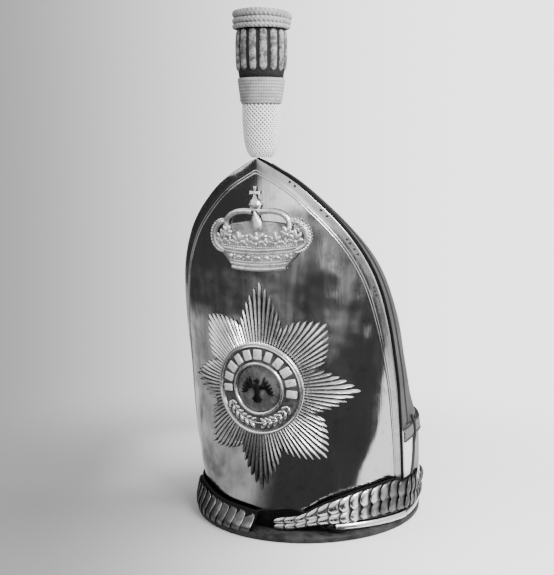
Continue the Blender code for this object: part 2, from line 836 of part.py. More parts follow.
def make_pompom_band(wool):
    """Wound band that widens from the stem to the barrel."""
    neck = BARREL_RADIUS - RIB_DEPTH
    profile = []
    for way in (0, 0.5, 1):
        radius = STEM_RADIUS + BAND_PROUD + (neck - STEM_RADIUS - BAND_PROUD) * way
        profile.append((radius, band_low() + BAND_LENGTH * way))
    return turned("pompom_band", profile, wool)


def make_pompom_barrel(dark):
    """Barrel with upright ribs."""
    profile = []
    for share, up in ((0.93, 0), (0.96, 0.12), (1.0, 0.45), (1.0, 0.8), (0.98, 1)):
        profile.append((BARREL_RADIUS * share, barrel_low() + BARREL_LENGTH * up))
    return turned("pompom_barrel", profile, dark, steps=4 * BARREL_RIBS, groove=RIB_DEPTH)


def make_pompom_rim(wool):
    """Thick cords laid one above the other round the pompom's upper edge."""
    cord = POMPOM_RIM_LENGTH / POMPOM_RIM_CORDS
    inset = POMPOM_RIM_RADIUS - 0.3 * cord
    profile = [(inset, rim_cords_low())]
    for i in range(POMPOM_RIM_CORDS):
        foot = rim_cords_low() + cord * i
        profile.append((POMPOM_RIM_RADIUS, foot + 0.3 * cord))
        profile.append((POMPOM_RIM_RADIUS, foot + 0.7 * cord))
        profile.append((inset, foot + cord))
    return turned("pompom_rim", profile, wool)


def strap_level(table, name, share):
    return STRAP_HEIGHT * read_table(STRAP_COLUMNS, table, name, share)


def right_back(share):
    """How far the right strap's back stands out: over the tongue in front, clear of the
    headband at the side."""
    over = read_table(STRAP_COLUMNS, RIGHT_STRAP, "over", share)
    leaving, clear = 0.42, 0.54
    side = min(max((share - leaving) / (clear - leaving), 0), 1)
    return GAP + (HEADBAND_PROUD + GAP) * side + over * (TONGUE_THICKNESS + GAP)


def rim_reach(along):
    """How far the rim's outline stands out from the body at a length along it."""
    spot, _, outward = girth_frame(along, RIM_HEIGHT)
    wide = RIM_HALF_WIDTH**-2
    long = RIM_HALF_LENGTH**-2
    a = wide * outward.x**2 + long * outward.y**2
    b = wide * spot.x * outward.x + long * spot.y * outward.y
    c = wide * spot.x**2 + long * spot.y**2 - 1
    return (math.sqrt(b * b - a * c) - b) / a


def scale_stations(table, reach):
    """Shares of the strap's reach where its section changes, with the step of the scales."""
    first = table[0][0]
    count = round((1 - first) * reach / SCALE_PITCH)
    stations = []
    for i in range(count):
        start = first + (1 - first) * i / count
        end = first + (1 - first) * (i + 1) / count
        stations.append((start, 1.0))
        stations.append((end - 0.06 * (end - start), 0.0))
    return stations + [(1.0, 0.0)]


def scale_section(table, share, back, step):
    """Heights and stand-offs of the strap's section, from its upper back edge over the scale
    to the scale's lower edge."""
    low = strap_level(table, "low", share)
    high = strap_level(table, "high", share)
    leather = back + STRAP_LEATHER
    full = min(2 * (high - low) / STRAP_HEIGHT, 1)
    dome = leather + GAP + (SCALE_DOME + SCALE_STEP * step) * full
    shoulder = leather + 0.6 * (dome - leather)
    middle = (low + high) / 2
    spread = 0.6 * (high - low) / 2
    return [
        (high + STRAP_MARGIN, back),
        (high + STRAP_MARGIN, leather),
        (high, leather + GAP / 2),
        (middle + spread, shoulder),
        (middle, dome),
        (middle - spread, shoulder),
    ]


def make_scales_right(metal):
    """Leather strap under domed scales, rising from the front to the right side."""
    rings = []
    for share, step in scale_stations(RIGHT_STRAP, RIGHT_REACH):
        back = right_back(share)
        low = strap_level(RIGHT_STRAP, "low", share)
        outline = scale_section(RIGHT_STRAP, share, back, step)
        outline += [(low, back + STRAP_LEATHER + GAP / 2), (low, back)]
        rings.append([girth_spot(RIGHT_REACH * share, z, out) for z, out in outline])
    bm = bmesh.new()
    body(bm, rings)
    return add_object("scales_right", bm, metal, 30)


def left_back(share):
    """How far the left strap's back stands out, so that its scales hang over the rim's edge."""
    reach = rim_reach(-LEFT_REACH * share) + RIM_OVERHANG
    return max(reach - STRAP_LEATHER - SCALE_DOME - GAP, 2 * GAP)


def make_scales_left(metal):
    """Leather strap under domed scales that lies round the left side, its lower lip outside
    the rim."""
    rings = []
    for share, step in scale_stations(LEFT_STRAP, LEFT_REACH):
        back = left_back(share)
        edge = rim_reach(-LEFT_REACH * share) + 2 * GAP
        low = strap_level(LEFT_STRAP, "low", share)
        ledge = RIM_HEIGHT + GAP
        outline = scale_section(LEFT_STRAP, share, back, step)
        outline += [(low, edge + RIM_OVERHANG), (low, edge), (ledge, edge), (ledge, back)]
        rings.append([girth_spot(-LEFT_REACH * share, z, out) for z, out in outline])
    bm = bmesh.new()
    body(bm, rings)
    return add_object("scales_left", bm, metal, 30)


def make_strap_rear(leather):
    """Plain leather stretch of the chin strap round the back, from one scaled end to the other."""
    steps = 36
    ahead = GAP + SCALE_PITCH / 10
    back = HEADBAND_PROUD + 2 * GAP
    rings = []
    for i in range(steps + 1):
        low = strap_level(REAR_STRAP, "low", i / steps)
        high = strap_level(REAR_STRAP, "high", i / steps)
        front = back + STRAP_LEATHER
        ring = []
        for z, out in ((high, back), (high, front), (low, front), (low, back)):
            ring.append(round_back(RIGHT_REACH + ahead, LEFT_REACH + ahead, i / steps, z, out))
        rings.append(ring)
    bm = bmesh.new()
    body(bm, rings)
    return add_object("strap_rear", bm, leather)


def make_strap_tongue(leather):
    """Pointed leather tongue under the free ends of both straps."""
    rings = []
    steps = 16
    for i in range(steps + 1):
        share = TONGUE[0][0] + (TONGUE[-1][0] - TONGUE[0][0]) * i / steps
        low = STRAP_HEIGHT * read_table(TONGUE_COLUMNS, TONGUE, "low", share)
        high = STRAP_HEIGHT * read_table(TONGUE_COLUMNS, TONGUE, "high", share)
        off = max(read_table(TONGUE_COLUMNS, TONGUE, "off", share), 0)
        back = GAP + off * (HEADBAND_PROUD + GAP + TRIM_THICKNESS)
        front = back + TONGUE_THICKNESS
        outline = ((high, back), (high, front), (low, front), (low, back))
        rings.append([girth_spot(STRAP_HEIGHT * share, z, out) for z, out in outline])
    bm = bmesh.new()
    body(bm, rings)
    return add_object("strap_tongue", bm, leather)


def clear_scene():
    for thing in list(bpy.data.objects):
        bpy.data.objects.remove(thing, do_unlink=True)


def stand_at_origin():
    """Puts the whole cap over the origin: the pompom reaches furthest forward, the rim back."""
    root = bpy.data.objects.new("cap", None)
    bpy.context.scene.collection.objects.link(root)
    root.location.y = (POMPOM_FRONT + POMPOM_RIM_RADIUS - RIM_HALF_LENGTH) / 2
    for thing in bpy.data.objects:
        if thing.type == "MESH":
            thing.parent = root


def main():
    clear_scene()
    silver = make_material("polished plate", (0.62, 0.62, 0.61), 0.16, 1.0)
    cast = make_material("cast badge metal", (0.66, 0.65, 0.63), 0.32, 1.0)
    enamel = make_material("dark enamel", (0.03, 0.03, 0.032), 0.3)
    leather = make_material("black leather", (0.025, 0.024, 0.023), 0.45)
    bag_cloth = make_material("bag cloth", (0.30, 0.29, 0.28), 0.9)
    band_cloth = make_material("pale band cloth", (0.72, 0.71, 0.68), 0.9)
    braid = make_material("woven braid", (0.42, 0.41, 0.39), 0.85)
    wool = make_material("pale wool", (0.74, 0.73, 0.70), 0.9)
    dark_wool = make_material("dark velvet", (0.05, 0.05, 0.052), 0.95)
    make_front_plate(silver)
    make_edge_binding(leather)
    make_bag(bag_cloth)
    make_headband(band_cloth)
    make_headband_braid(braid)
    make_base_rim(leather)
    make_base_trim(silver)
    make_crown_badge(cast)
    make_star_rays(cast)
    make_medallion_ring(cast)
    make_medallion_tablets(cast)
    make_laurel_sprigs(cast)
    make_medallion_disc(enamel)
    make_heraldic_bird(enamel)
    make_pompom_stem(wool)
    make_pompom_band(wool)
    make_pompom_barrel(dark_wool)
    make_pompom_rim(wool)
    make_scales_right(cast)
    make_scales_left(cast)
    make_strap_rear(leather)
    make_strap_tongue(leather)
    stand_at_origin()


if __name__ == "__main__":
    main()
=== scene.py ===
from math import atan2, cos, pi, radians, sin, tau

import bmesh
import bpy
import numpy as np
from mathutils import Matrix, Vector


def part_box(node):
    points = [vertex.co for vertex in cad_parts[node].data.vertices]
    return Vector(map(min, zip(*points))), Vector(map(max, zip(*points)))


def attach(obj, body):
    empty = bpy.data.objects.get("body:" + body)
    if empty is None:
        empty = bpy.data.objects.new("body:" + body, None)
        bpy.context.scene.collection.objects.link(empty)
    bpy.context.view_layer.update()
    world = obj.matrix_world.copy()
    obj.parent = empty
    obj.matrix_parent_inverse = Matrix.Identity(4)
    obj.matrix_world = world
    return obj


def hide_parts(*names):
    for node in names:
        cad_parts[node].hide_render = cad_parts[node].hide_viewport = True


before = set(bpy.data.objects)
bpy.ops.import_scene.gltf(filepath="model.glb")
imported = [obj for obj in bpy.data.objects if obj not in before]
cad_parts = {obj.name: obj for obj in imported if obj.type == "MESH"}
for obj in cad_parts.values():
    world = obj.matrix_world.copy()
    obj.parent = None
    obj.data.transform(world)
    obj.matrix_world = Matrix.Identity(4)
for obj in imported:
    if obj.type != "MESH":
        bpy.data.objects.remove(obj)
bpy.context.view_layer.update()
print("frame loaded")

camera = {
    "place": (0.3632, -0.7364, 0.2865),
    "looking": (-0.4654, 0.8752, -0.1323),
    "lens": 65.11,
}


def addObject(name, data):
    made = bpy.data.objects.new(name, data)
    bpy.context.scene.collection.objects.link(made)
    return made


def aim(made, place, direction):  # puts a camera or lamp at a place and turns it
    made.location = place
    made.rotation_euler = Vector(direction).to_track_quat("-Z", "Y").to_euler()


def placeCamera():
    data = bpy.data.cameras.new("camera")
    data.lens = camera["lens"]
    data.sensor_width = 36
    data.clip_start = 0.01
    holder = addObject("camera", data)
    aim(holder, camera["place"], camera["looking"])
    bpy.context.scene.camera = holder


placeCamera()
print("camera placed")


# shader tools; a plain number stands for a grey tone where a colour is meant

class Wire:  # one output socket; arithmetic on it adds Math nodes
    def __init__(self, tree, socket):
        self.tree = tree
        self.socket = socket

    def join(self, operation, other=0.0, swapped=False):
        first, second = (other, self) if swapped else (self, other)
        return addNode(self.tree, "ShaderNodeMath", {"operation": operation}, {0: first, 1: second})

    def __add__(self, other):
        return self.join("ADD", other)

    def __sub__(self, other):
        return self.join("SUBTRACT", other)

    def __rsub__(self, other):
        return self.join("SUBTRACT", other, True)

    def __mul__(self, other):
        return self.join("MULTIPLY", other)

    def __truediv__(self, other):
        return self.join("DIVIDE", other)

    __radd__ = __add__
    __rmul__ = __mul__


def feed(tree, socket, value):  # links a wire or sets a value
    if isinstance(value, Wire):
        tree.links.new(value.socket, socket)
    else:
        socket.default_value = (value, value, value, 1) if socket.type == "RGBA" else value


def addNode(tree, kind, settings=None, sockets=None, output=0):
    node = tree.nodes.new(kind)
    for name, value in (settings or {}).items():
        setattr(node, name, value)
    for name, value in (sockets or {}).items():
        feed(tree, node.inputs[name], value)
    return Wire(tree, node.outputs[output])


def attribute(place, name):
    return addNode(place.tree, "ShaderNodeAttribute", {"attribute_name": name}, None, 2)


def parts(vector):
    return [addNode(vector.tree, "ShaderNodeSeparateXYZ", None, {0: vector}, i) for i in range(3)]


def uvParts(place):
    return parts(addNode(place.tree, "ShaderNodeUVMap", {"uv_map": "flat"}))[:2]


def measure(vector, operation, other=(0, 0, 0)):
    return addNode(vector.tree, "ShaderNodeVectorMath", {"operation": operation}, {0: vector, 1: other}, 1)


def stretched(place, scale, turn=(0, 0, 0)):
    return addNode(place.tree, "ShaderNodeMapping", None, {"Vector": place, "Scale": scale, "Rotation": turn})


def noise(place, scale, detail=3.0, roughness=0.5, distortion=0.0):
    sockets = {"Vector": place, "Scale": scale, "Detail": detail, "Roughness": roughness}
    return addNode(place.tree, "ShaderNodeTexNoise", None, {**sockets, "Distortion": distortion})


def span(value, low, high, start=0.0, end=1.0):
    sockets = {"Value": value, "From Min": low, "From Max": high, "To Min": start, "To Max": end}
    return addNode(value.tree, "ShaderNodeMapRange", {"interpolation_type": "SMOOTHSTEP"}, sockets)


def blend(factor, first, second):
    return addNode(factor.tree, "ShaderNodeMix", {"data_type": "RGBA"}, {0: factor, 6: first, 7: second}, 2)


def greyWire(tone):
    return addNode(tone.tree, "ShaderNodeCombineColor", None, {0: tone, 1: tone, 2: tone})


def raised(height, strength, distance, normal=None):
    sockets = {"Height": height, "Strength": strength, "Distance": distance}
    if normal:
        sockets["Normal"] = normal
    return addNode(height.tree, "ShaderNodeBump", None, sockets)


def looks(tone, layers, rough, bumps, metallic=0.0):
    # layers: a mask and the tone that it lays over the last one; bumps: height, strength and distance
    for mask, laid in layers:
        tone = blend(mask, tone, laid)
    normal = None
    for bump in bumps:
        normal = raised(*bump, normal)
    return {"Base Color": tone, "Roughness": rough, "Normal": normal, "Metallic": metallic}


def makeMaterial(name, paint, values=None, **fixed):  # values go to the paint function, fixed to the shader
    material = bpy.data.materials.new(name)
    material.use_nodes = True
    tree = material.node_tree
    sockets = tree.nodes["Principled BSDF"].inputs
    place = addNode(tree, "ShaderNodeTexCoord", output=3)
    for socketName, value in {**fixed, **paint(place, **(values or {}))}.items():
        feed(tree, sockets[socketName.replace("_", " ")], value)
    return material


# paint functions; noise scales count to a metre

def paintPlate(place):
    fromEdge = attribute(place, "fromEdge")
    patches = noise(place, 20, 6, 0.66, 0.8)
    spots = noise(place, 90, 4, 0.65)
    wiped = noise(stretched(place, (150, 150, 8)), 1, 3, 0.55)
    scratches = noise(stretched(place, (900, 900, 16), (0.2, 0.5, 0)), 1, 2, 0.5)
    tarnish = span(patches, 0.50, 0.70) * 0.7 + span(spots, 0.56, 0.74) * 0.4
    border = 1 - span(fromEdge, 0.0042, 0.0056)
    leaning = fromEdge.join("MINIMUM", 0.0074) / 0.0074  # the border leans back
    layers = [(tarnish, 0.34), (span(wiped, 0.45, 0.75) * 0.35, 0.55)]
    layers += [(border * (0.25 + span(spots, 0.4, 0.6) * 0.35), 0.42)]
    rough = 0.08 + span(patches, 0.45, 0.75) * 0.16 + span(wiped, 0.4, 0.8) * 0.05
    rough = rough + border * span(parts(place)[0], 0.0, 0.012) * 0.16
    bumps = [(noise(place, 24, 2, 0.45), 0.25, 0.003), (leaning, 1.0, 0.0003), (scratches, 0.05, 0.0005)]
    return looks(0.84, layers, rough, bumps, 1.0)


def paintCast(place, dark=0.04, light=0.90, bump=0.08, rough=(0.22, 0.20, 0.08), pitted=0.0, metallic=1.0):
    # rough holds the least roughness and what low places and the grain add to it
    grain = noise(place, 700, 3, 0.6)
    patches = noise(place, 90, 4, 0.6)
    # painted shade: where the lit share is low, the tone goes towards the dark tone, like shade in recesses
    # and under neighbouring parts, broken up by noise
    low = 1 - span(attribute(place, "rise") + (patches - 0.5) * 0.4, 0.05, 0.55)
    layers = [(low * 0.92, dark), (span(patches, 0.45, 0.7) * 0.45, 0.36)]
    bumps = [(grain, bump, 0.0003), (noise(place, 240, 2, 0.5), 0.25, 0.0005)]
    if pitted:
        pits = span(noise(place, 420, 3, 0.7), 0.52, 0.68)
        layers.append((pits * pitted, 0.16))
        bumps.append((1 - pits, 0.35, 0.0004))
    return looks(light, layers, rough[0] + low * rough[1] + span(grain, 0.4, 0.8) * rough[2], bumps, metallic)


def paintSheetMetal(place):
    patches, spots = noise(place, 45, 4, 0.6), noise(place, 260, 3, 0.6)
    dark = span(patches, 0.52, 0.75) * 0.6 + span(spots, 0.6, 0.8) * 0.3
    return looks(0.82, [(dark, 0.32)], 0.2 + dark * 0.22, [(patches, 0.3, 0.002), (spots, 0.2, 0.0004)], 1.0)


def paintEnamel(place, scale, detail, spread, tones, rough, bump):
    cloud = noise(place, scale, 4, detail)
    layers = [(span(cloud, *spread), tones[1])]
    return looks(tones[0], layers, rough[0] + span(cloud, 0.4, 0.8) * rough[1], [(cloud, *bump)])


def paintLeather(place):
    cells = {"Vector": place, "Scale": 900}
    grain = addNode(place.tree, "ShaderNodeTexVoronoi", {"feature": "DISTANCE_TO_EDGE"}, cells)
    folds = noise(place, 120, 5, 0.65)
    wear = span(noise(place, 60, 5, 0.7), 0.55, 0.8)
    rough = 0.5 + wear * 0.2 + span(folds, 0.3, 0.8) * 0.08
    return looks(0.003, [(wear * 0.7, 0.018)], rough, [(grain, 0.35, 0.0003), (folds, 0.3, 0.0012)])


def paintRimLeather(place):
    wear, grain = noise(place, 70, 5, 0.7), noise(place, 900, 3, 0.6)
    layers = [(span(wear, 0.35, 0.7), 0.042)]
    rough = 0.5 + span(wear, 0.3, 0.8) * 0.25
    return looks(0.006, layers, rough, [(grain, 0.3, 0.0003), (wear, 0.3, 0.0015)])


def weave(across, up, count):  # over and under threads, count to a metre
    return ((across * (pi * count)).join("SINE") * (up * (pi * count)).join("SINE")).join("ABSOLUTE")


def paintBagCloth(place):
    nap, wear = noise(place, 1500, 3, 0.7), noise(place, 38, 5, 0.62)
    layers = [(span(wear, 0.35, 0.75), 0.045), (nap * 0.35, 0.065)]
    bumps = [(weave(*uvParts(place), 1300), 0.35, 0.0002), (nap, 0.35, 0.0004)]
    return looks(0.014, layers, 0.88 + nap * 0.1, bumps + [(noise(place, 70, 3, 0.5), 0.35, 0.003)])


def paintBandCloth(place):  # white cloth, with painted shade making it grey behind the side seam where it turns from the light
    nap, stains = noise(place, 1300, 3, 0.7), noise(place, 45, 5, 0.65)
    # painted shade: the cloth behind the side seam is painted grey, blotched by the stains
    rear = span(attribute(place, "turn"), 0.22, 0.23)
    behind = blend(span(stains, 0.35, 0.75), 0.12, 0.24)
    layers = [(span(stains, 0.45, 0.8) * 0.5, 0.42), (rear, behind), (nap * 0.2, 0.4)]
    bumps = [(weave(*uvParts(place), 1100), 0.4, 0.0002), (nap, 0.3, 0.0004)]
    return looks(0.62, layers, 0.9 + nap * 0.08, bumps)


def paintBraid(place):
    across, up = uvParts(place)
    zigzag = ((across * 420).join("PINGPONG", 1.0) * 1.6 + up * 560).join("PINGPONG", 1.0)
    nap = noise(place, 1400, 3, 0.7)
    layers = [(span(zigzag, 0.25, 0.75), 0.17), (nap * 0.3, 0.09)]
    bump = (zigzag * 0.7 + weave(across, up, 1700) * 0.4, 0.6, 0.0005)
    return looks(0.05, layers, 0.8 + nap * 0.12, [bump])


def paintPiping(place):
    nap = noise(place, 900, 4, 0.7)
    return looks(0.008, [(nap, 0.03)], 0.75 + nap * 0.15, [(nap, 0.4, 0.0005)])


def paintNet(place):
    twist, soil = noise(place, 1600, 3, 0.7), noise(place, 110, 4, 0.6)
    layers = [(span(soil, 0.5, 0.8) * 0.5, 0.6), (twist * 0.25, 0.55)]
    return looks(0.86, layers, 0.78 + twist * 0.15, [(twist, 0.5, 0.0004)])


def paintWoolCord(place):
    across, up = uvParts(place)
    strands = (across + up * 0.8).join("PINGPONG", 1.0)
    fluff, soil = noise(place, 900, 4, 0.75), noise(place, 90, 4, 0.6)
    # painted shade darkens the grooves between the strands
    layers = [(span(soil, 0.4, 0.7) * 0.6, 0.22), ((1 - strands) * 0.5, 0.10), (fluff * 0.4, 0.18)]
    return looks(0.50, layers, 0.86 + fluff * 0.1, [(strands, 0.7, 0.0009), (fluff, 0.6, 0.0008)])


def paintWovenBand(place):
    across, up = uvParts(place)
    lines, cross = (up * 900).join("PINGPONG", 1.0), (across * 1100).join("PINGPONG", 1.0)
    soil, fluff = noise(place, 120, 4, 0.65), noise(place, 1300, 3, 0.7)
    # painted shade darkens the grooves between the thread lines
    layers = [(span(soil, 0.35, 0.75), 0.20), ((1 - lines) * 0.5, 0.10), (fluff * 0.25, 0.33)]
    return looks(0.40, layers, 0.8 + fluff * 0.12, [(lines * 0.7 + cross * 0.3, 0.7, 0.0006)])


def paintBullion(place):
    across, up = uvParts(place)
    turns = (up + across * 0.35).join("PINGPONG", 1.0)
    mottle = noise(place, 260, 5, 0.75)
    # painted shade darkens the grooves between the wire turns
    layers = [(span(mottle, 0.40, 0.62), 0.42), ((1 - turns) * 0.4, 0.05)]
    return looks(0.07, layers, 0.5 + mottle * 0.3, [(turns, 0.5, 0.0006), (mottle, 0.5, 0.001)])


def paintPile(place, scale, spread, tones):
    pile = noise(place, scale, 4, 0.75)
    return looks(tones[0], [(span(pile, *spread), tones[1])], 0.85 + pile * 0.12, [(pile, 0.6, 0.001)])


frosted = {"dark": 0.05, "light": 0.92, "bump": 0.35, "rough": (0.34, 0.12, 0.10), "pitted": 0.55}
enamels = {
    "ground": {
        "scale": 200, "detail": 0.65, "spread": (0.35, 0.65), "tones": (0.018, 0.075),
        "rough": (0.30, 0.20), "bump": (0.25, 0.0008),
    },
    "bird": {
        "scale": 120, "detail": 0.60, "spread": (0.40, 0.70), "tones": (0.003, 0.010),
        "rough": (0.35, 0.18), "bump": (0.12, 0.0010),
    },
    "disc": {
        "scale": 150, "detail": 0.65, "spread": (0.35, 0.65), "tones": (0.050, 0.110),
        "rough": (0.22, 0.20), "bump": (0.20, 0.0010),
    },
}
stemPile = {"scale": 900, "spread": (0.35, 0.70), "tones": (0.16, 0.42)}
darkPile = {"scale": 1100, "spread": (0.40, 0.75), "tones": (0.005, 0.022)}

plateMetal = makeMaterial("plate metal", paintPlate)
castMetal = makeMaterial("cast metal", paintCast)
frostedMetal = makeMaterial("frosted metal", paintCast, frosted)
silveredMetal = makeMaterial("silvered metal", paintCast, {**frosted, "metallic": 0.5})
sheetMetal = makeMaterial("sheet metal", paintSheetMetal)
groundEnamel = makeMaterial(
    "ground enamel", paintEnamel, enamels["ground"], Coat_Weight=0.3, Coat_Roughness=0.25,
)
birdEnamel = makeMaterial("bird enamel", paintEnamel, enamels["bird"], Specular_IOR_Level=0.12)
discEnamel = makeMaterial("disc enamel", paintEnamel, enamels["disc"], Coat_Weight=0.5, Coat_Roughness=0.15)
leatherBlack = makeMaterial("black leather", paintLeather, Specular_IOR_Level=0.08)
rimLeather = makeMaterial("rim leather", paintRimLeather, Specular_IOR_Level=0.2)
bagWool = makeMaterial("bag cloth", paintBagCloth, Sheen_Weight=0.1, Sheen_Roughness=0.5)
bandWool = makeMaterial("band cloth", paintBandCloth)
stemWool = makeMaterial("stem wool", paintPile, stemPile)
braidTape = makeMaterial("braid", paintBraid)
pipingWool = makeMaterial("dark piping", paintPiping)
netCord = makeMaterial("net cord", paintNet)
woolCord = makeMaterial("wool cord", paintWoolCord)
wovenTape = makeMaterial("woven tape", paintWovenBand)
bullionThread = makeMaterial("bullion thread", paintBullion)
darkWool = makeMaterial("dark wool", paintPile, darkPile)
print("materials made")


# shape of the body, in the same measures as the frame

shape = {
    "plateTop": 0.280,
    "plateHalfWidth": 0.0895,
    "plateFront": 0.0793,
    "plateLean": 0.009,
    "plateThickness": 0.001,
    "bagBack": 0.0885,
    "bindingRadius": 0.002,
    "bindingProud": 0.0008,
    "cornerBlend": 0.012,
    "gap": 0.0003,
    # height, half width, how far the edge lies behind the middle, lean and back, as shares
    "levels": (
        (0.000, 0.935, 0.745, 0.00, 1.000), (0.077, 0.961, 0.715, 0.04, 0.994),
        (0.130, 0.983, 0.657, 0.09, 0.983), (0.184, 0.993, 0.620, 0.13, 0.972),
        (0.255, 0.999, 0.582, 0.18, 0.932), (0.327, 1.000, 0.547, 0.22, 0.810),
        (0.398, 0.997, 0.516, 0.26, 0.672), (0.470, 0.988, 0.468, 0.29, 0.582),
        (0.541, 0.975, 0.412, 0.31, 0.492), (0.595, 0.957, 0.368, 0.34, 0.407),
        (0.648, 0.932, 0.324, 0.40, 0.298), (0.716, 0.876, 0.264, 0.54, 0.119),
        (0.775, 0.792, 0.201, 0.67, -0.050), (0.832, 0.675, 0.134, 0.82, -0.254),
        (0.889, 0.512, 0.067, 0.93, -0.447), (0.943, 0.316, 0.022, 0.98, -0.627),
        (1.000, 0.000, 0.000, 1.00, -0.806),
    ),
}
rimLow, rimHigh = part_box("base_rim")
middleY = (rimLow.y + rimHigh.y) / 2  # the body's own Y counts from the rim's middle


def points(*axes):  # X, Y and Z of places, put together
    return np.stack(axes, axis=-1)


def unit(run):
    return run / np.linalg.norm(run, axis=-1, keepdims=True)


def tableCurve(rows, column, at):  # smooth curve through one column of a table
    rows = np.array(rows)
    keys, values = rows[:, 0], rows[:, column]
    slopes = np.gradient(values, keys)
    at = np.clip(at, keys[0], keys[-1])
    i = np.clip(np.searchsorted(keys, at, side="right") - 1, 0, len(keys) - 2)
    wide = keys[i + 1] - keys[i]
    t = (at - keys[i]) / wide
    start = (1 + 2 * t) * (1 - t) ** 2 * values[i] + t * (1 - t) ** 2 * wide * slopes[i]
    end = t**2 * (3 - 2 * t) * values[i + 1] - t**2 * (1 - t) * wide * slopes[i + 1]
    return start + end


def level(z):  # half width, front, edge and back of the body at height z
    up = np.asarray(z, float) / shape["plateTop"]
    half, bow, lean, back = [tableCurve(shape["levels"], column, up) for column in (1, 2, 3, 4)]
    front = -shape["plateFront"] - shape["plateLean"] * lean
    edge = front + shape["plateHalfWidth"] * bow
    return shape["plateHalfWidth"] * half, front, edge, shape["bagBack"] * back


def plateArc(z):  # radius of the plate's bow and half the angle that it spans
    half, front, edge, _ = level(z)
    bow = np.maximum(edge - front, shape["plateHalfWidth"] * 1e-4)
    radius = (half**2 + bow**2) / (2 * bow)
    return radius, np.arcsin(np.minimum(half / radius, 1.0))


def halfArc(z):  # the plate's half width along its bow
    radius, widest = plateArc(z)
    return radius * widest


def plateSpot(across, z, out):
    radius, _ = plateArc(z)
    front = level(z)[1]
    turn = across / radius
    reach = radius + out
    y = front + radius - reach * np.cos(turn) + middleY
    return points(reach * np.sin(turn), y, z + 0 * turn)


def bindingCentre(z, side):  # middle of the round leather edge
    half, _, edge, _ = level(z)
    _, widest = plateArc(z)
    behind = shape["plateThickness"] * np.cos(widest) + 3 * shape["gap"] + shape["bindingRadius"]
    inward = np.minimum(shape["bindingRadius"] - shape["bindingProud"], half)
    return points(side * (half - inward), edge + behind, z + 0 * half)


def rearStart(z):  # how far behind the plate's edge the cloth starts
    step = shape["plateTop"] / 200
    run = unit(bindingCentre(z + step, 1) - bindingCentre(z - step, 1))
    reach = shape["bindingRadius"] * np.sqrt(1 - run[..., 0] ** 2) / run[..., 2]
    return bindingCentre(z, 1)[..., 1] - level(z)[2] + reach + 1.5 * shape["gap"]


def rearSpot(turn, z, out):  # body behind the binding; turn 0 is its right edge and pi its left one
    half, _, edge, back = level(z)
    start = edge + rearStart(z)
    x, y = np.cos(turn) / half, np.sin(turn) / (back - start)
    size = np.hypot(x, y)
    spotX = half * np.cos(turn) + out * x / size
    spotY = start + (back - start) * np.sin(turn) + out * y / size + middleY
    return points(spotX, spotY, z + 0 * turn)


def edgeHeights(low, high, count):  # heights at equal steps along the plate's edge
    fine = np.linspace(low, high, 400)
    half, _, edge, _ = level(fine)
    path = points(half, edge, fine)
    lengths = np.concatenate([[0], np.cumsum(np.linalg.norm(np.diff(path, axis=0), axis=1))])
    return np.interp(np.linspace(0, lengths[-1], count), lengths, fine)


def smooth(value, low, high):
    t = np.clip((value - low) / (high - low), 0, 1)
    return t * t * (3 - 2 * t)


def girthRow(z, steps):  # X, Y and facing along the level outline, front to back
    half, front, edge, back = level(z)
    start = edge + rearStart(z)
    radius, widest = plateArc(z)
    turns = np.linspace(0, widest, 40)
    sweep = np.linspace(0, pi / 2, 60)
    x = np.concatenate([radius * np.sin(turns), half * np.cos(sweep)])
    y = np.concatenate([front + radius - radius * np.cos(turns), start + (back - start) * np.sin(sweep)])
    facing = np.concatenate([turns, np.arctan2(np.cos(sweep) / half, -np.sin(sweep) / (back - start))])
    along = np.concatenate([[0], np.cumsum(np.hypot(np.diff(x), np.diff(y)))])
    spread = along[:, None] + shape["cornerBlend"] * np.linspace(-1, 1, 13)[None, :]
    evened = (np.where(spread < 0, -1, 1) * np.interp(np.abs(spread), along, facing)).mean(axis=1)
    return np.stack([np.interp(steps, along, values) for values in (x, y, evened)])


girthLevels = np.linspace(0, 0.06, 21)
girthSteps = np.linspace(0, 0.26, 521)
girthTable = np.array([girthRow(z, girthSteps) for z in girthLevels])


def girthLength(z):
    half, _, edge, back = level(z)
    start = edge + rearStart(z)
    sweep = np.linspace(0, pi / 2, 60)
    rear = np.hypot(np.diff(half * np.cos(sweep)), np.diff((back - start) * np.sin(sweep))).sum()
    return halfArc(z) + rearStart(z) + rear


girthLengths = np.array([girthLength(z) for z in girthLevels])


def roundBack(first, last, share, z, out):  # from the right side round the back to the left side
    total = np.interp(z, girthLevels, girthLengths)
    right = first + (total - first) * np.minimum(share * 2, 1)
    left = total + (last - total) * np.maximum(share * 2 - 1, 0)
    spot = girthSpot(np.where(share <= 0.5, right, left), z, out)
    spot[..., 0] = np.where(share <= 0.5, spot[..., 0], -spot[..., 0])
    return spot


def girthSpot(along, z, out):  # point a length along the outline, to the left where negative
    side = np.where(along < 0, -1.0, 1.0)
    row = np.clip(z / girthLevels[1], 0, len(girthLevels) - 1.001)
    column = np.clip(np.abs(along) / girthSteps[1], 0, len(girthSteps) - 1.001)
    i, j = row.astype(int), column.astype(int)
    a, b = row - i, column - j
    x, y, facing = [
        (1 - a) * ((1 - b) * girthTable[i, k, j] + b * girthTable[i, k, j + 1])
        + a * ((1 - b) * girthTable[i + 1, k, j] + b * girthTable[i + 1, k, j + 1])
        for k in range(3)
    ]
    return points(side * (x + out * np.sin(facing)), y - out * np.cos(facing) + middleY, z + 0 * x)


# modelling tools

def spots(bm):  # places of all vertices
    return np.array([vertex.co for vertex in bm.verts], float).reshape(-1, 3)


def moveTo(bm, places):
    for vertex, place in zip(bm.verts, places):
        vertex.co = place


def mark(bm, name, values):  # a number at each vertex, for the paint functions
    layer = bm.verts.layers.float.new(name)
    for vertex, value in zip(bm.verts, values):
        vertex[layer] = float(value)


def layUv(bm, values):  # values holds U and V of each vertex
    layer = bm.loops.layers.uv.new("flat")
    bm.verts.index_update()
    for face in bm.faces:
        for corner in face.loops:
            corner[layer].uv = values[corner.vert.index]


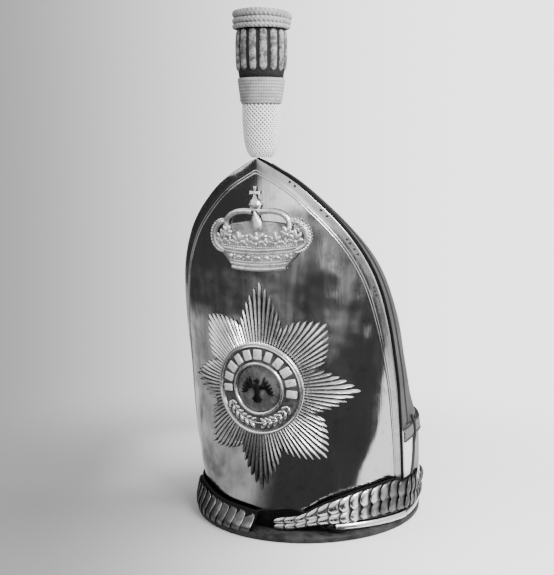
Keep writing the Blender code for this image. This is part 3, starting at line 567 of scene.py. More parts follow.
def bendOnPlate(bm, height, full, low=0.0, paintedLight=1.0):
    # from the flat layout, where X is across, -Y out and Z up from the given height, onto the plate
    flat = spots(bm)
    # painted shade: parts that lie lower towards the plate get a smaller lit share and are painted darker,
    # times the painted light factor
    mark(bm, "rise", np.clip((-flat[:, 1] - low) / (full - low), 0, 1) * paintedLight)
    moveTo(bm, plateSpot(flat[:, 0], height + flat[:, 2], -flat[:, 1]))


def makeObject(name, bm, material):
    mesh = bpy.data.meshes.new(name)
    bm.to_mesh(mesh)
    bm.free()
    mesh.materials.append(material)
    return addObject(name, mesh)


def finishPiece(name, bm, material, stands=(), sharp=None, recalculate=True):
    if recalculate:
        bmesh.ops.recalc_face_normals(bm, faces=bm.faces)
    piece = makeObject(name, bm, material)
    piece.data.shade_smooth()
    if sharp:
        piece.data.set_sharp_from_angle(angle=radians(sharp))
    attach(piece, "root")
    if stands:
        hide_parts(*stands)
    return piece


def addWall(piece, thickness):
    wall = piece.modifiers.new("wall", "SOLIDIFY")
    wall.thickness = thickness
    wall.offset = -1


def finishSheet(name, bm, material, stands, thickness):
    piece = finishPiece(name, bm, material, [stands], recalculate=False)
    addWall(piece, thickness)


def sheetGrid(columns, rows, place):
    # a grid whose place(u, v) runs from 0 to 1 both ways
    bm = bmesh.new()
    bmesh.ops.create_grid(bm, x_segments=columns, y_segments=rows, size=1)
    flat = (spots(bm)[:, :2] + 1) / 2
    moveTo(bm, place(flat[:, 0], flat[:, 1]))
    return bm, flat


def fillHoles(bm):
    bmesh.ops.holes_fill(bm, edges=[edge for edge in bm.edges if edge.is_boundary], sides=0)


def tubeGrid(columns, around, place, closeEnds=True, uv=lambda flat: flat):
    # a tube: u runs along it and v round it
    bm, flat = sheetGrid(columns, around, place)
    layUv(bm, uv(flat))
    bmesh.ops.remove_doubles(bm, verts=bm.verts, dist=1e-6)
    if closeEnds:
        fillHoles(bm)
    return bm


def joinTo(bm, other):  # adds another bmesh to this one
    mesh = bpy.data.meshes.new("joined")
    other.to_mesh(mesh)
    other.free()
    bm.from_mesh(mesh)
    bpy.data.meshes.remove(mesh)


def addTube(bm, places, radius, sides=3):  # a round bar through the places
    data = bpy.data.curves.new("bar", "CURVE")
    data.dimensions = "3D"
    data.bevel_depth = radius
    data.bevel_resolution = sides
    data.use_fill_caps = True
    line = data.splines.new("POLY")
    line.points.add(len(places) - 1)
    for knot, place in zip(line.points, places):
        knot.co = (*place, 1)
    holder = bpy.data.objects.new("bar", data)
    mesh = bpy.data.meshes.new_from_object(holder)
    bm.from_mesh(mesh)
    bpy.data.objects.remove(holder)
    bpy.data.curves.remove(data)
    bpy.data.meshes.remove(mesh)


def addBall(bm, place, size, turn=0.0, segments=10, rings=7):
    # flattened ball in the flat layout; size is across, out and up
    matrix = Matrix.Translation(place) @ Matrix.Rotation(turn, 4, "Y") @ Matrix.Diagonal((*size, 1))
    bmesh.ops.create_uvsphere(bm, u_segments=segments, v_segments=rings, radius=1, matrix=matrix)


def spin(bm, profile, axis, steps, closed=False):  # turns a row of places right round an axis
    made = [bm.verts.new(place) for place in profile]
    edges = [bm.edges.new(pair) for pair in zip(made, made[1:] + made[:closed])]
    bmesh.ops.spin(
        bm, geom=made + edges, cent=(0, 0, 0), axis=axis, angle=tau, steps=steps, use_merge=True,
    )


def bevelBlock(bm, made, offset, segments):  # made holds the block's vertices
    edges = list({edge for vertex in made for edge in vertex.link_edges})
    bmesh.ops.bevel(
        bm, geom=edges, offset=offset, affect="EDGES", segments=segments, profile=0.5, material=-1,
    )


# plate with its border lines and sewing holes

plate = {
    "foot": 0.0058,
    "columns": 130,
    "rows": 190,
    "ridges": ((0.0074, 0.00040), (0.0092, 0.00055)),  # distance from the edge and radius
    "ridgesLow": 0.66,  # share of that distance low down
    "holeRadius": 0.00105,
    "holeInset": 0.0032,
    "holeHeights": (
        0.2633, 0.2605, 0.2439, 0.2397, 0.2235, 0.2206, 0.2163, 0.2127, 0.1887, 0.1858, 0.1828,
    ),
}


def heightAt(heights, v):  # height at a share of the rows
    return np.interp(v, np.linspace(0, 1, len(heights)), heights)


def buildPlate():
    top = shape["plateTop"]
    heights = edgeHeights(plate["foot"], top, 600)

    def place(u, v):
        z = heightAt(heights, v)
        return plateSpot(halfArc(z) * (2 * u - 1), z, 0)

    bm, flat = sheetGrid(plate["columns"], plate["rows"], place)
    z = heightAt(heights, flat[:, 1])
    across = halfArc(z) * np.abs(2 * flat[:, 0] - 1)
    edgeZ = np.linspace(plate["foot"] - 0.02, top, 500)
    edgeAcross = halfArc(np.maximum(edgeZ, 0))
    distances = [np.hypot(edgeAcross - a, edgeZ - h).min() for a, h in zip(across, z)]
    mark(bm, "fromEdge", distances)
    bmesh.ops.remove_doubles(bm, verts=bm.verts, dist=1e-6)
    piece = finishPiece("plate", bm, plateMetal, ["front_plate"], recalculate=False)
    addWall(piece, shape["plateThickness"])

    holes = bmesh.new()
    for side in (-1, 1):
        for z in plate["holeHeights"]:
            across = side * (halfArc(z) - plate["holeInset"])
            spot = plateSpot(across, z, 0.00003)
            outward = Vector(plateSpot(across, z, 0.001) - spot)
            bmesh.ops.create_cone(
                holes, cap_ends=True, segments=12, radius1=plate["holeRadius"],
                radius2=plate["holeRadius"] * 0.8, depth=0.0001,
                matrix=Matrix.Translation(spot) @ outward.to_track_quat("Z", "Y").to_matrix().to_4x4(),
            )
    finishPiece("sewing_holes", holes, pipingWool)


def buildRidges():  # the raised double line inside the plate's edge
    bm = bmesh.new()
    heights = edgeHeights(plate["foot"], shape["plateTop"], 260)
    edge = points(halfArc(heights), heights)
    run = unit(np.gradient(edge, axis=0))
    low = plate["ridgesLow"]
    for inset, size in plate["ridges"]:
        inward = inset * (low + (1 - low) * smooth(heights, 0.05, 0.20))
        line = edge + inward[:, None] * points(-run[:, 1], run[:, 0])
        line = line[(line[:, 0] > 0.0002) & (line[:, 1] > plate["foot"])]
        line = np.concatenate([line * [-1, 1], line[::-1]])
        addTube(bm, plateSpot(line[:, 0], line[:, 1], -0.00005), size, 2)
    mark(bm, "fromEdge", [0.008] * len(bm.verts))
    finishPiece("plate_ridges", bm, plateMetal)


def buildBinding():
    heights = edgeHeights(plate["foot"], shape["plateTop"] - shape["bindingProud"] * 2, 70)
    left = bindingCentre(heights[:-1], -1)
    right = bindingCentre(heights[:-1], 1)[::-1]
    tip = bindingCentre(heights[-1:], 1) * [0, 1, 1]
    path = np.concatenate([left, tip, right]) + [0, middleY, 0]
    bm = bmesh.new()
    addTube(bm, path, shape["bindingRadius"], 4)
    finishPiece("leather_binding", bm, leatherBlack, ["edge_binding"])


buildPlate()
buildRidges()
buildBinding()
print("plate and binding built")

# cloth: bag, headband and braid

bag = {
    "low": 0.0675,
    "headbandTop": 0.0765,
    "tucked": -0.0022,
    "free": 0.081,
    "top": 0.276,
    "thickness": 0.002,
    "seamDepth": 0.0007,
    "piping": (0.0795, 0.270, 0.0010),  # low, high and radius
}
band = {"thickness": 0.002, "seamTop": 0.084, "seamStart": 0.026, "seamRadius": 0.0013}
braid = {"proud": 0.0014, "crest": 0.0009, "thickness": 0.0012, "cordRadius": 0.0007}


def sideFullness(turn, z):  # rear cloth swells a little at both sides, behind the side seam
    aside = np.minimum(turn, pi - turn)
    swell = smooth(aside, 0.25, 0.42) * (1 - smooth(aside, 0.6, 1.2))
    return 0.0032 * swell * smooth(z, 0.008, 0.04) * (1 - smooth(z, 0.07, 0.105))


def bagLift(turn, z):  # how far the bag's cloth stands off: tucked in low down, creased above
    lift = bag["tucked"] * (1 - smooth(z, bag["headbandTop"], bag["free"]))
    free = smooth(z, bag["free"], bag["free"] + 0.03) * (1 - smooth(z, 0.24, 0.272))
    middle = np.sin(turn) ** 0.6
    puckers = np.sin(turn * 21 + 1.3 * np.sin(turn * 4)) * np.exp(-((z - 0.088) / 0.014) ** 2) * 0.00035
    creases = np.sin(z * 95 + turn * 3.1) * np.sin(turn * 2.3 + z * 30 + 0.6) * 0.0007
    seam = -bag["seamDepth"] * np.exp(-((turn - pi / 2) / 0.02) ** 2)
    return lift + free * (middle * (creases + 0.0006) - 0.0008 + seam) + puckers + sideFullness(turn, z)


def buildBag():
    heights = edgeHeights(bag["low"], bag["top"], 300)

    def place(u, v):
        z = heightAt(heights, v)
        return rearSpot(u * pi, z, bagLift(u * pi, z))

    bm, flat = sheetGrid(120, 110, place)
    layUv(bm, flat * (0.3, 0.26))
    topRow = [vertex for vertex, v in zip(bm.verts, flat[:, 1]) if v > 0.999]
    bmesh.ops.contextual_create(bm, geom=topRow)
    finishSheet("bag_cloth", bm, bagWool, "bag", bag["thickness"])


def buildBagSideLines():  # dark cords up both sides of the bag, drawing the dark line near its outline
    bm = bmesh.new()
    low, high, radius = bag["piping"]
    heights = edgeHeights(low, high, 80)
    for turn in (pi - 0.11 + 0 * heights, 0.11 + 0 * heights):
        addTube(bm, rearSpot(turn, heights, bagLift(turn, heights)), radius, 2)
    finishPiece("bag_side_lines", bm, pipingWool)


def buildHeadband():
    low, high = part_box("headband")

    def place(u, v):
        z = low.z + (high.z - low.z) * v
        return rearSpot(u * pi, z, 0.0008 + sideFullness(u * pi, z))

    bm, flat = sheetGrid(160, 16, place)
    layUv(bm, flat * (0.32, 0.07))
    mark(bm, "turn", np.minimum(flat[:, 0], 1 - flat[:, 0]) * pi)
    thick, flatSize, restsOn = band["thickness"], (0.34, 0.073), ["base_rim"]
    finishSheet("headband_cloth", bm, bandWool, "headband", thick)
    seams = bmesh.new()
    up = np.linspace(0, 1, 24)
    start = low.z + band["seamStart"]
    z = start + (band["seamTop"] - start) * up
    aside = 0.21 - 0.12 * (1 - up) ** 3 + 0.03 * np.sin(up * 3)
    out = 0.0016 + 0.0012 * smooth(z, 0.060, 0.068) * (1 - smooth(z, 0.078, 0.084))
    for turn in (pi - aside, aside):
        addTube(seams, rearSpot(turn, z, out), band["seamRadius"], 2)
    finishPiece("side_seams", seams, pipingWool)


def buildBraid():
    low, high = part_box("headband_braid")

    def place(u, v):
        z = low.z + (high.z - low.z) * v
        out = braid["proud"] + braid["crest"] * (1 - np.abs(2 * v - 1) ** 4)
        return rearSpot(u * pi, z, out + sideFullness(u * pi, z))

    bm, flat = sheetGrid(110, 10, place)
    layUv(bm, flat * (0.32, 0.0106))
    finishSheet("braid_tape", bm, braidTape, "headband_braid", braid["thickness"])
    cords = bmesh.new()
    turns = np.linspace(0.004, pi - 0.004, 90)
    for z in (low.z + 0.0004, high.z - 0.0002):
        path = rearSpot(turns, z + 0 * turns, 0.0019 + sideFullness(turns, z))
        addTube(cords, path, braid["cordRadius"], 2)
    finishPiece("braid_edge_cords", cords, pipingWool)


buildBag()
buildBagSideLines()
buildHeadband()
buildBraid()
print("cloth built")

for name in ("strap_rear", "strap_tongue"):  # kept frame nodes get their finish
    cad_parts[name].data.materials.clear()
    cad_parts[name].data.materials.append(leatherBlack)

# rim with its metal trim

rim = {
    "halfWidth": 0.0885,
    "halfLength": 0.095,
    "inset": 0.004,
    "trimStart": 0.0555,
    "trimEnd": 0.172,
    "trimHeight": 0.006,
    "trimThickness": 0.005,
    "seam": 0.148,
    # inward and upward shares, from the foot over the outer edge to the inside and back
    "profile": (
        (0.02, 0), (0, 0.12), (0, 0.5), (0.03, 0.72), (0.12, 0.88), (0.3, 0.98), (0.5, 1), (1, 1), (1, 0),
        (0.02, 0),
    ),
}


def buildRim():
    x, y, facing = girthRow(rimHigh.z, girthSteps)
    innerX, innerY = x - rim["inset"] * np.sin(facing), y + rim["inset"] * np.cos(facing)
    angles, reaches = np.arctan2(innerX, -innerY), np.hypot(innerX, innerY)
    profile = np.array(rim["profile"])

    def place(u, v):
        turn = u * tau
        way, up = [np.interp(v * 9, np.arange(10), profile[:, k]) for k in (0, 1)]
        inner = np.interp(np.arctan2(np.abs(np.cos(turn)), -np.sin(turn)), angles, reaches)
        outX = rim["halfWidth"] * np.cos(turn) * (1 - way) + inner * np.cos(turn) * way
        outY = rim["halfLength"] * np.sin(turn) * (1 - way) + inner * np.sin(turn) * way
        return points(outX, outY + middleY, rimHigh.z * up)

    bm = tubeGrid(180, 9, place, closeEnds=False)
    finishPiece("rim_leather", bm, rimLeather, ["base_rim"], sharp=60)


def buildTrim():
    low = rimHigh.z + shape["gap"]
    high, thick = rim["trimHeight"], rim["trimThickness"]
    bm = bmesh.new()
    for first, last, steps in ((0, rim["seam"], 50), (rim["seam"] + 0.0015, 1, 200)):

        def strip(u, v):
            turn = v * tau
            z = low + high * (0.5 - 0.5 * np.cos(turn))
            leaning = thick - 0.0008 * (z - low) / high
            out = 0.0011 + leaning * np.maximum(np.sin(turn), 0.0) ** 0.4
            return roundBack(rim["trimStart"], rim["trimEnd"], first + (last - first) * u, z, out)

        joinTo(bm, tubeGrid(steps, 16, strip))
    finishPiece("rim_trim", bm, sheetMetal, ["base_trim"], sharp=60)


buildRim()
buildTrim()

# star and medallion, in a flat layout that is bent onto the plate

star = {
    "height": 0.1118,
    "reach": 0.0785,
    "seat": 0.0006,
    "ridge": 0.0021,
    "points": 8,
    "raysInPoint": 13,
    "inner": 0.029,
}


def rayReach(point, offMiddle):  # odd points are blunt, even ones long
    if point % 2:
        return 0.90 - 0.20 * offMiddle - 0.02 * offMiddle**2
    return (1.0 if point % 4 == 0 else 0.95) - 0.37 * offMiddle


def buildStar():
    bm = bmesh.new()
    count = star["points"] * star["raysInPoint"]
    middle = (star["raysInPoint"] - 1) / 2
    for number in range(count):
        point, ray = divmod(number, star["raysInPoint"])
        angle = tau * (number - middle) / count
        reach = star["reach"] * rayReach(point, abs(ray / middle - 1))
        ridge = star["ridge"] * (1 - 0.12 * (ray % 2))
        cone = bmesh.new()
        bmesh.ops.create_cone(cone, cap_ends=True, segments=8, radius1=1, radius2=1, depth=1)
        upright = [edge for edge in cone.edges if abs(edge.verts[0].co.z - edge.verts[1].co.z) > 0.5]
        bmesh.ops.subdivide_edges(cone, edges=upright, cuts=4)
        for vertex in cone.verts:
            t = 1 - (0.5 - vertex.co.z) ** 1.9
            r = star["inner"] + (reach - star["inner"]) * t
            tip = 1 - 0.78 * max((t - 0.86) / 0.14, 0) ** 1.8
            side = vertex.co.x * pi * r / count * 0.86 * tip
            up = max(vertex.co.y, 0) ** 1.5 * ridge * (0.35 + 0.65 * tip)
            x, z = r * sin(angle) + side * cos(angle), r * cos(angle) - side * sin(angle)
            vertex.co = (x, -star["seat"] - up, z)
        joinTo(bm, cone)
    under = star["seat"] + 0.0002  # thin plate under the rays
    bmesh.ops.create_circle(
        bm, cap_ends=True, segments=96, radius=star["reach"] * 0.60,
        matrix=Matrix.Rotation(pi / 2, 4, "X") @ Matrix.Translation((0, 0, under)),
    )
    x, _, z = spots(bm).T  # painted shade makes the upper and lower points darker at their ends
    reach = np.hypot(x, z)
    upright = smooth(np.abs(z) / np.maximum(reach, 1e-6), 0.82, 0.97)
    paintedLight = 1 - 0.8 * upright * smooth(reach / star["reach"], 0.42, 0.85)
    bendOnPlate(bm, star["height"], star["seat"] + star["ridge"] * 0.85, under, paintedLight)
    finishPiece("star", bm, castMetal, ["star_rays"], sharp=50)


medallion = {
    "base": 0.0026,
    "hole": 0.0173,
    "floor": 0.0044,
    "high": 0.0062,
    "middleRadius": 0.0257,  # of the sunk band
    "tablets": 11,
    "tabletReach": 104,
    "leafPairs": 6,
    "leafStart": 4,
    "leafReach": 62,
    "leaves": ((0.85, 0.0237), (-0.85, 0.0277)),  # lean and radius
}


def ringBody(profile, height, material, name, stands=(), sharp=None):
    # turns a profile of radius and stand-off pairs round the star's middle and bends it to the plate
    bm = bmesh.new()
    spin(bm, [(radius, -out, 0) for radius, out in profile], (0, 1, 0), 96, closed=True)
    bendOnPlate(bm, star["height"], height)
    finishPiece(name, bm, material, stands, sharp)


def ringSpot(radius, angle, out):
    return radius * sin(angle), -out, radius * cos(angle)


def buildRings():
    base, floor, high = [medallion[name] for name in ("base", "floor", "high")]
    outer = (
        (0.0344, base), (0.0344, high - 0.0008), (0.0339, high - 0.0002), (0.0331, high),
        (0.0326, high - 0.0005), (0.0323, high - 0.0009), (0.0320, high - 0.0004), (0.0315, high - 0.0003),
        (0.0311, floor), (0.0309, base),
    )
    inner = (
        (0.0201, base), (0.0201, floor), (0.0197, high - 0.0006), (0.0189, high), (0.0180, high - 0.0003),
        (0.0175, high - 0.0011), (0.0174, base),
    )
    ground = ((0.0312, base), (0.0312, floor), (0.0200, floor), (0.0200, base))
    ringBody(outer, high, castMetal, "medallion_outer_ring", ["medallion_ring"], 60)
    ringBody(inner, high, castMetal, "medallion_inner_ring", sharp=60)
    ringBody(ground, high, groundEnamel, "medallion_ground", sharp=30)


def buildTablets():
    bm = bmesh.new()
    floor = medallion["floor"]
    reach = radians(medallion["tabletReach"])
    for number in range(medallion["tablets"]):
        angle = -reach + 2 * reach * (number + 0.5) / medallion["tablets"]
        size = (0.0052 + 0.0006 * (number * 7 % 3), 0.0017, 0.0076, 1)
        seat = Matrix.Translation((0, -floor - 0.0006, medallion["middleRadius"]))
        matrix = Matrix.Rotation(angle, 4, "Y") @ seat
        made = bmesh.ops.create_cube(bm, size=1, matrix=matrix @ Matrix.Diagonal(size))["verts"]
        bevelBlock(bm, made, 0.0008, 3)
    bendOnPlate(bm, star["height"], medallion["high"])
    finishPiece("plain_tablets", bm, silveredMetal, ["medallion_tablets"], sharp=60)


def buildLaurel():
    bm = bmesh.new()
    floor = medallion["floor"]
    middle, first, pairs = medallion["middleRadius"], medallion["leafStart"], medallion["leafPairs"]
    for side in (-1, 1):
        for number in range(pairs):
            angle = pi + side * radians(first + (medallion["leafReach"] - first) * (number + 0.6) / pairs)
            for lean, radius in medallion["leaves"]:
                leafTurn = angle + side * (pi / 2 - lean * 0.75)
                addBall(bm, ringSpot(radius, angle, floor + 0.0005), (0.0013, 0.0010, 0.0029), leafTurn, 8, 6)
            berry = ringSpot(middle, angle + side * 0.07, floor + 0.0006)
            addBall(bm, berry, (0.0006, 0.0007, 0.0006), 0, 6, 5)
        turns = [pi + side * radians(medallion["leafReach"]) * step / 11 for step in range(12)]
        addTube(bm, [ringSpot(middle, turn, floor + 0.0004) for turn in turns], 0.0004, 1)
    bendOnPlate(bm, star["height"], medallion["high"])
    finishPiece("laurel", bm, castMetal, ["laurel_sprigs"])


def buildDisc():
    base, edge = medallion["base"], medallion["hole"] - 0.0003
    shares = (1.0, 0.93, 0.8, 0.6, 0.4, 0.2, 0.02)
    dome = [(edge * share, base + 0.0013 + 0.0018 * (1 - share**2)) for share in shares]
    profile = [(edge, base)] + dome + [(edge * 0.02, base)]
    ringBody(profile, medallion["high"], discEnamel, "enamel_disc", ["medallion_disc"], 60)


bird = {"front": 0.0061, "scale": 0.0152, "feathers": 6}


def buildBird():  # a plain perched bird with lifted wings, own design
    bm = bmesh.new()
    size, front = bird["scale"], -bird["front"]

    def ball(x, behind, z, wide, thick, tall, turn=0.0, segments=10, rings=7):
        place = (x * size, front + behind, z * size)
        addBall(bm, place, (wide * size, thick, tall * size), turn, segments, rings)

    ball(0, 0, -0.02, 0.17, 0.0010, 0.34)
    ball(0.02, -0.0002, 0.40, 0.11, 0.0009, 0.12)
    ball(-0.11, -0.0002, 0.40, 0.09, 0.0005, 0.035, -0.25)
    for side in (-1, 1):
        ball(side * 0.26, 0, 0.12, 0.26, 0.0009, 0.13, side * -0.45)
        for number in range(bird["feathers"]):
            turn = side * (0.20 + 0.30 * number)
            length = 0.44 - 0.03 * number
            x = side * (0.30 + 0.05 * number) + sin(turn) * length * 0.5
            z = 0.16 - 0.07 * number + cos(turn) * length * 0.5
            ball(x, 0.00077 * (x * x + z * z), z, 0.062, 0.0009, length * 0.58, turn, 8, 6)
        foot = (side * 0.17 * size, front + 0.0003, -0.48 * size)
        addTube(bm, [(side * 0.07 * size, front, -0.25 * size), foot], 0.0006, 2)
        for toe in (-0.5, 0, 0.5):
            ball(side * 0.17 + toe * 0.1, 0.0003, -0.52, 0.028, 0.0006, 0.08, toe * 1.2, 6, 5)
    for number in (-1, 0, 1):
        ball(number * 0.09, 0.0002, -0.50, 0.06, 0.0007, 0.22, -number * 0.3, 8, 6)
    bendOnPlate(bm, star["height"], 0.0064)
    finishPiece("perched_bird", bm, birdEnamel, ["heraldic_bird"])


buildStar()
buildRings()
buildTablets()
buildLaurel()
buildDisc()
buildBird()
print("star and medallion built")

# crown, in the same flat layout

crown = {
    "low": 0.1985,
    "height": 0.0625,
    "halfWidth": 0.0405,
    "thickness": 0.0038,
    "archWidth": 0.0043,
    "archEdge": 0.1,
    "smile": 0.0052,  # how far the band's ends lie above its middle
    "levels": (
        (0.000, 0.520, 0.55), (0.045, 0.595, 0.62), (0.125, 0.735, 0.60), (0.150, 0.775, 0.62),
        (0.230, 0.870, 0.62), (0.255, 0.890, 0.60), (0.330, 0.910, 0.62), (0.400, 0.800, 0.62),
        (0.470, 0.690, 0.60), (0.545, 0.560, 0.52),
    ),
    "innerArch": (
        (0.06, 0.690, 1.0), (0.20, 0.700, 1.0), (0.36, 0.694, 1.0), (0.50, 0.668, 1.0),
        (0.61, 0.610, 1.0), (0.64, 0.520, 1.1), (0.58, 0.420, 1.2),
    ),
    "outerArch": (
        (0.60, 0.570, 0.9), (0.74, 0.575, 1.0), (0.86, 0.530, 1.2), (0.93, 0.455, 1.3),
        (0.94, 0.370, 1.3), (0.88, 0.300, 1.2), (0.79, 0.262, 1.0), (0.70, 0.245, 0.6),
    ),
    "middleArch": (
        (0.0, 0.715, 0.4), (0.0, 0.670, 1.0), (0.0, 0.620, 1.6), (0.0, 0.575, 2.2), (0.0, 0.530, 2.5),
        (0.0, 0.490, 2.1), (0.0, 0.460, 0.9),
    ),
    # raised lines: height, half width and radius
    "lines": (
        (0.022, 0.535, 0.00125), (0.072, 0.57, 0.0008), (0.105, 0.59, 0.0005), (0.208, 0.70, 0.0006),
        (0.245, 0.75, 0.0011),
    ),
    "leaves": ((-0.74, 0.0084), (-0.37, 0.0082), (0.0, 0.0108), (0.37, 0.0082), (0.74, 0.0084)),
    "smallLeaves": (-0.555, -0.185, 0.185, 0.555),
}


def crownSpot(across, up, out):  # flat layout from shares of half width and height
    return Vector((crown["halfWidth"] * across, -0.0003 - out, crown["height"] * up))


def raiseAt(across, up):  # the band's smile, flatter higher up
    return up + crown["smile"] * across**2 / crown["height"] * (1 - 0.5 * up / 0.53)


def denser(rows, steps):  # more points on a smooth path through a short table
    keyed = np.column_stack([np.arange(len(rows)), rows])
    at = np.linspace(0, len(rows) - 1, steps)
    return points(*(tableCurve(keyed, column, at) for column in range(1, keyed.shape[1])))


def addArch(bm, path, side, high):
    rows = denser(path, 22)
    run = unit(np.gradient(rows[:, :2] * [crown["halfWidth"], crown["height"]], axis=0))
    low = crown["archEdge"]

    def place(u, v):
        at = u * (len(rows) - 1)
        i = np.clip(at.astype(int), 0, len(rows) - 2)
        t = (at - i)[:, None]
        across, up, width = (rows[i] * (1 - t) + rows[i + 1] * t).T
        wayX, wayZ = (run[i] * (1 - t) + run[i + 1] * t).T
        shift = crown["archWidth"] * width / 2 * np.cos(v * tau)
        out = 0.0003 + crown["thickness"] * (low + (high - low) * np.maximum(np.sin(v * tau), -0.2))
        x = side * (crown["halfWidth"] * across - wayZ * shift)
        return points(x, -np.maximum(out, 0.0003), crown["height"] * up + wayX * shift)

    joinTo(bm, tubeGrid(44, 10, place))
    return rows, run


def addLeaf(bm, across, up, out, length, turns, wide):  # petals that fan out from a foot
    foot = crownSpot(across, up, out)
    for turn in turns:
        half = length * (1 - 0.28 * abs(turn)) * 0.55
        addBall(bm, foot + Vector((sin(turn), 0, cos(turn))) * half, (wide, 0.0010, half), turn)
    addBall(bm, foot, (wide * 0.9, 0.0013, wide * 0.9))


def bandFace(u, v):  # front face of the band and of the cap behind its leaves
    up = 0.545 * v
    half = tableCurve(crown["levels"], 1, up)
    side = 2 * u - 1
    hollows = smooth(up, 0.30, 0.36) * 0.0005 * np.abs(np.cos(side * 4.5))
    lift = tableCurve(crown["levels"], 2, up) * crown["thickness"] * (1 - 0.35 * side**4) - hollows
    lift = np.where(np.minimum(np.minimum(u, 1 - u), np.minimum(v, 1 - v)) * 24 < 0.5, 0, lift)
    crest = 0.045 * smooth(up, 0.35, 0.53) * (1 - side**2)
    z = crown["height"] * (raiseAt(half * side, up) + crest)
    return points(crown["halfWidth"] * half * side, -0.0003 - lift, z)


def buildCrown():
    high = crown["thickness"]
    face = 0.62 * high
    bm, _ = sheetGrid(60, 36, bandFace)
    fillHoles(bm)

    def ball(across, up, out, size, turn=0.0, segments=10, rings=7):
        addBall(bm, crownSpot(across, raiseAt(across, up), out), size, turn, segments, rings)

    for up, half, radius in crown["lines"]:
        shares = np.linspace(-half, half, 30)
        path = [crownSpot(s, raiseAt(s, up), face * (1 - 0.3 * (s / half) ** 4)) for s in shares]
        addTube(bm, path, radius, 2)
    for number in range(-3, 4):  # set stones, long and round in turn, with dots between them
        s = number * 0.185
        size = (0.0018, 0.0015, 0.0018) if number % 2 else (0.0030, 0.0014, 0.0016)
        ball(s, 0.155, face, size, s * -0.2, 12, 8)
        for up in (0.132, 0.178):
            ball(s + 0.0925, up, face, (0.0007, 0.0007, 0.0007), 0, 6, 5)
    for number in range(-17, 18):  # fine beading over the band
        ball(number * 0.044, 0.277, face, (0.0007, 0.0007, 0.0007), 0, 6, 5)
    for s, length in crown["leaves"]:
        addLeaf(bm, s, raiseAt(s, 0.315), 0.72 * high, length, (-1.25, -0.6, 0, 0.6, 1.25), 0.0017)
    ball(0, 0.375, 0.85 * high, (0.0024, 0.0014, 0.0024))
    for s in crown["smallLeaves"]:  # with a pearl over each
        addLeaf(bm, s, raiseAt(s, 0.305), 0.66 * high, 0.0052, (-0.9, 0, 0.9), 0.0013)
        ball(s, 0.405, 0.66 * high, (0.0015, 0.0014, 0.0015))
    for side in (-1, 1):
        addArch(bm, crown["innerArch"], side, 1.0)
        addLeaf(bm, side * 0.60, 0.43, 0.9 * high, 0.0072, (-1.9, -1.1, -0.4, 0.4, 1.1, 1.9), 0.0017)
        rows, run = addArch(bm, crown["outerArch"], side, 0.82)
        for number in range(21):  # scalloped outer edge of the outer arch
            at = int((0.06 + 0.90 * number / 20) * (len(rows) - 1))
            x, up, width = rows[at]
            shift = crown["archWidth"] * width * 0.40
            spot = crownSpot(side * (x - run[at][1] * shift / crown["halfWidth"]), up, 0.5 * high)
            spot.z += run[at][0] * shift
            addBall(bm, spot, (0.00105, 0.0012, 0.00105), 0, 8, 6)
    addArch(bm, crown["middleArch"], 1, 1.12)
    addBall(bm, crownSpot(0, 0.712, 0.75 * high), (0.0030, 0.0012, 0.0008), 0, 12, 6)
    for vertex in bm.verts:  # it stands a little askew
        vertex.co.z += 0.03 * vertex.co.x
    bendOnPlate(bm, crown["low"], 0.0042, 0.0010)
    finishPiece("crown", bm, frostedMetal, ["crown_badge"], sharp=60)


def buildOrb():
    bm = bmesh.new()
    centre = crownSpot(0, 0.772, 0.35 * crown["thickness"])
    addBall(bm, centre, (0.0046, 0.0034, 0.0045), 0, 20, 14)
    hoop = [centre + Vector((sin(t) * 0.0047, -0.0035 * cos(t), 0.0003)) for t in np.linspace(-1.5, 1.5, 14)]
    addTube(bm, hoop, 0.0005, 1)
    middle = crownSpot(0, 0.912, 0.42 * crown["thickness"])
    addBall(bm, middle, (0.0011, 0.0013, 0.0011))
    for turn, length in ((0, 0.0044), (pi / 2, 0.0040), (pi, 0.0044), (-pi / 2, 0.0040)):
        matrix = Matrix.Translation(middle) @ Matrix.Rotation(turn, 4, "Y")
        made = bmesh.ops.create_cube(bm, size=1)["verts"]
        for vertex in made:  # narrow at the cross's middle, wide at the arm's end
            wide, deep, far = (0.0025, 0.0018, length) if vertex.co.z > 0 else (0.0009, 0.0013, 0)
            vertex.co = matrix @ Vector((vertex.co.x * wide, vertex.co.y * deep, far))
        bevelBlock(bm, made, 0.0003, 2)
    bendOnPlate(bm, crown["low"], 0.0036, 0.0010)
    finishPiece("orb_and_cross", bm, frostedMetal, sharp=60)


buildCrown()
buildOrb()
print("crown built")

# pompom

pompom = {
    "axis": (0.0, -0.080 + middleY),
    "core": 0.0005,  # radius where a turned body closes
    "fill": 0.9,
    "stem": ((0, 0), (0.07, 0.35), (0.24, 0.7), (0.55, 0.92), (1, 1)),
    "netCords": 28,
    "netRadius": 0.0006,
    "netTurn": 2.75,
    "pins": ((79, 0.0022), (-70, 0.0030)),  # azimuth and height
    "barrel": ((0, 0.90), (0.12, 0.93), (0.45, 0.97), (0.8, 0.97), (1, 0.94)),
    "barrelReach": 0.0170,
    "ribs": 14,
    "ribWidth": 0.0053,
    "cordRadii": (0.0019, 0.0023, 0.0029),  # from the lowest upwards
    "cordReach": 0.0207,
    "strands": 40,
    "pulled": (0.883, 0.4695),  # way in which the upper cords are pulled out and down
}


def aroundAxis(turn, reach, z):
    x, y = pompom["axis"]
    return points(x + reach * np.cos(turn), y + reach * np.sin(turn), z + 0 * turn)


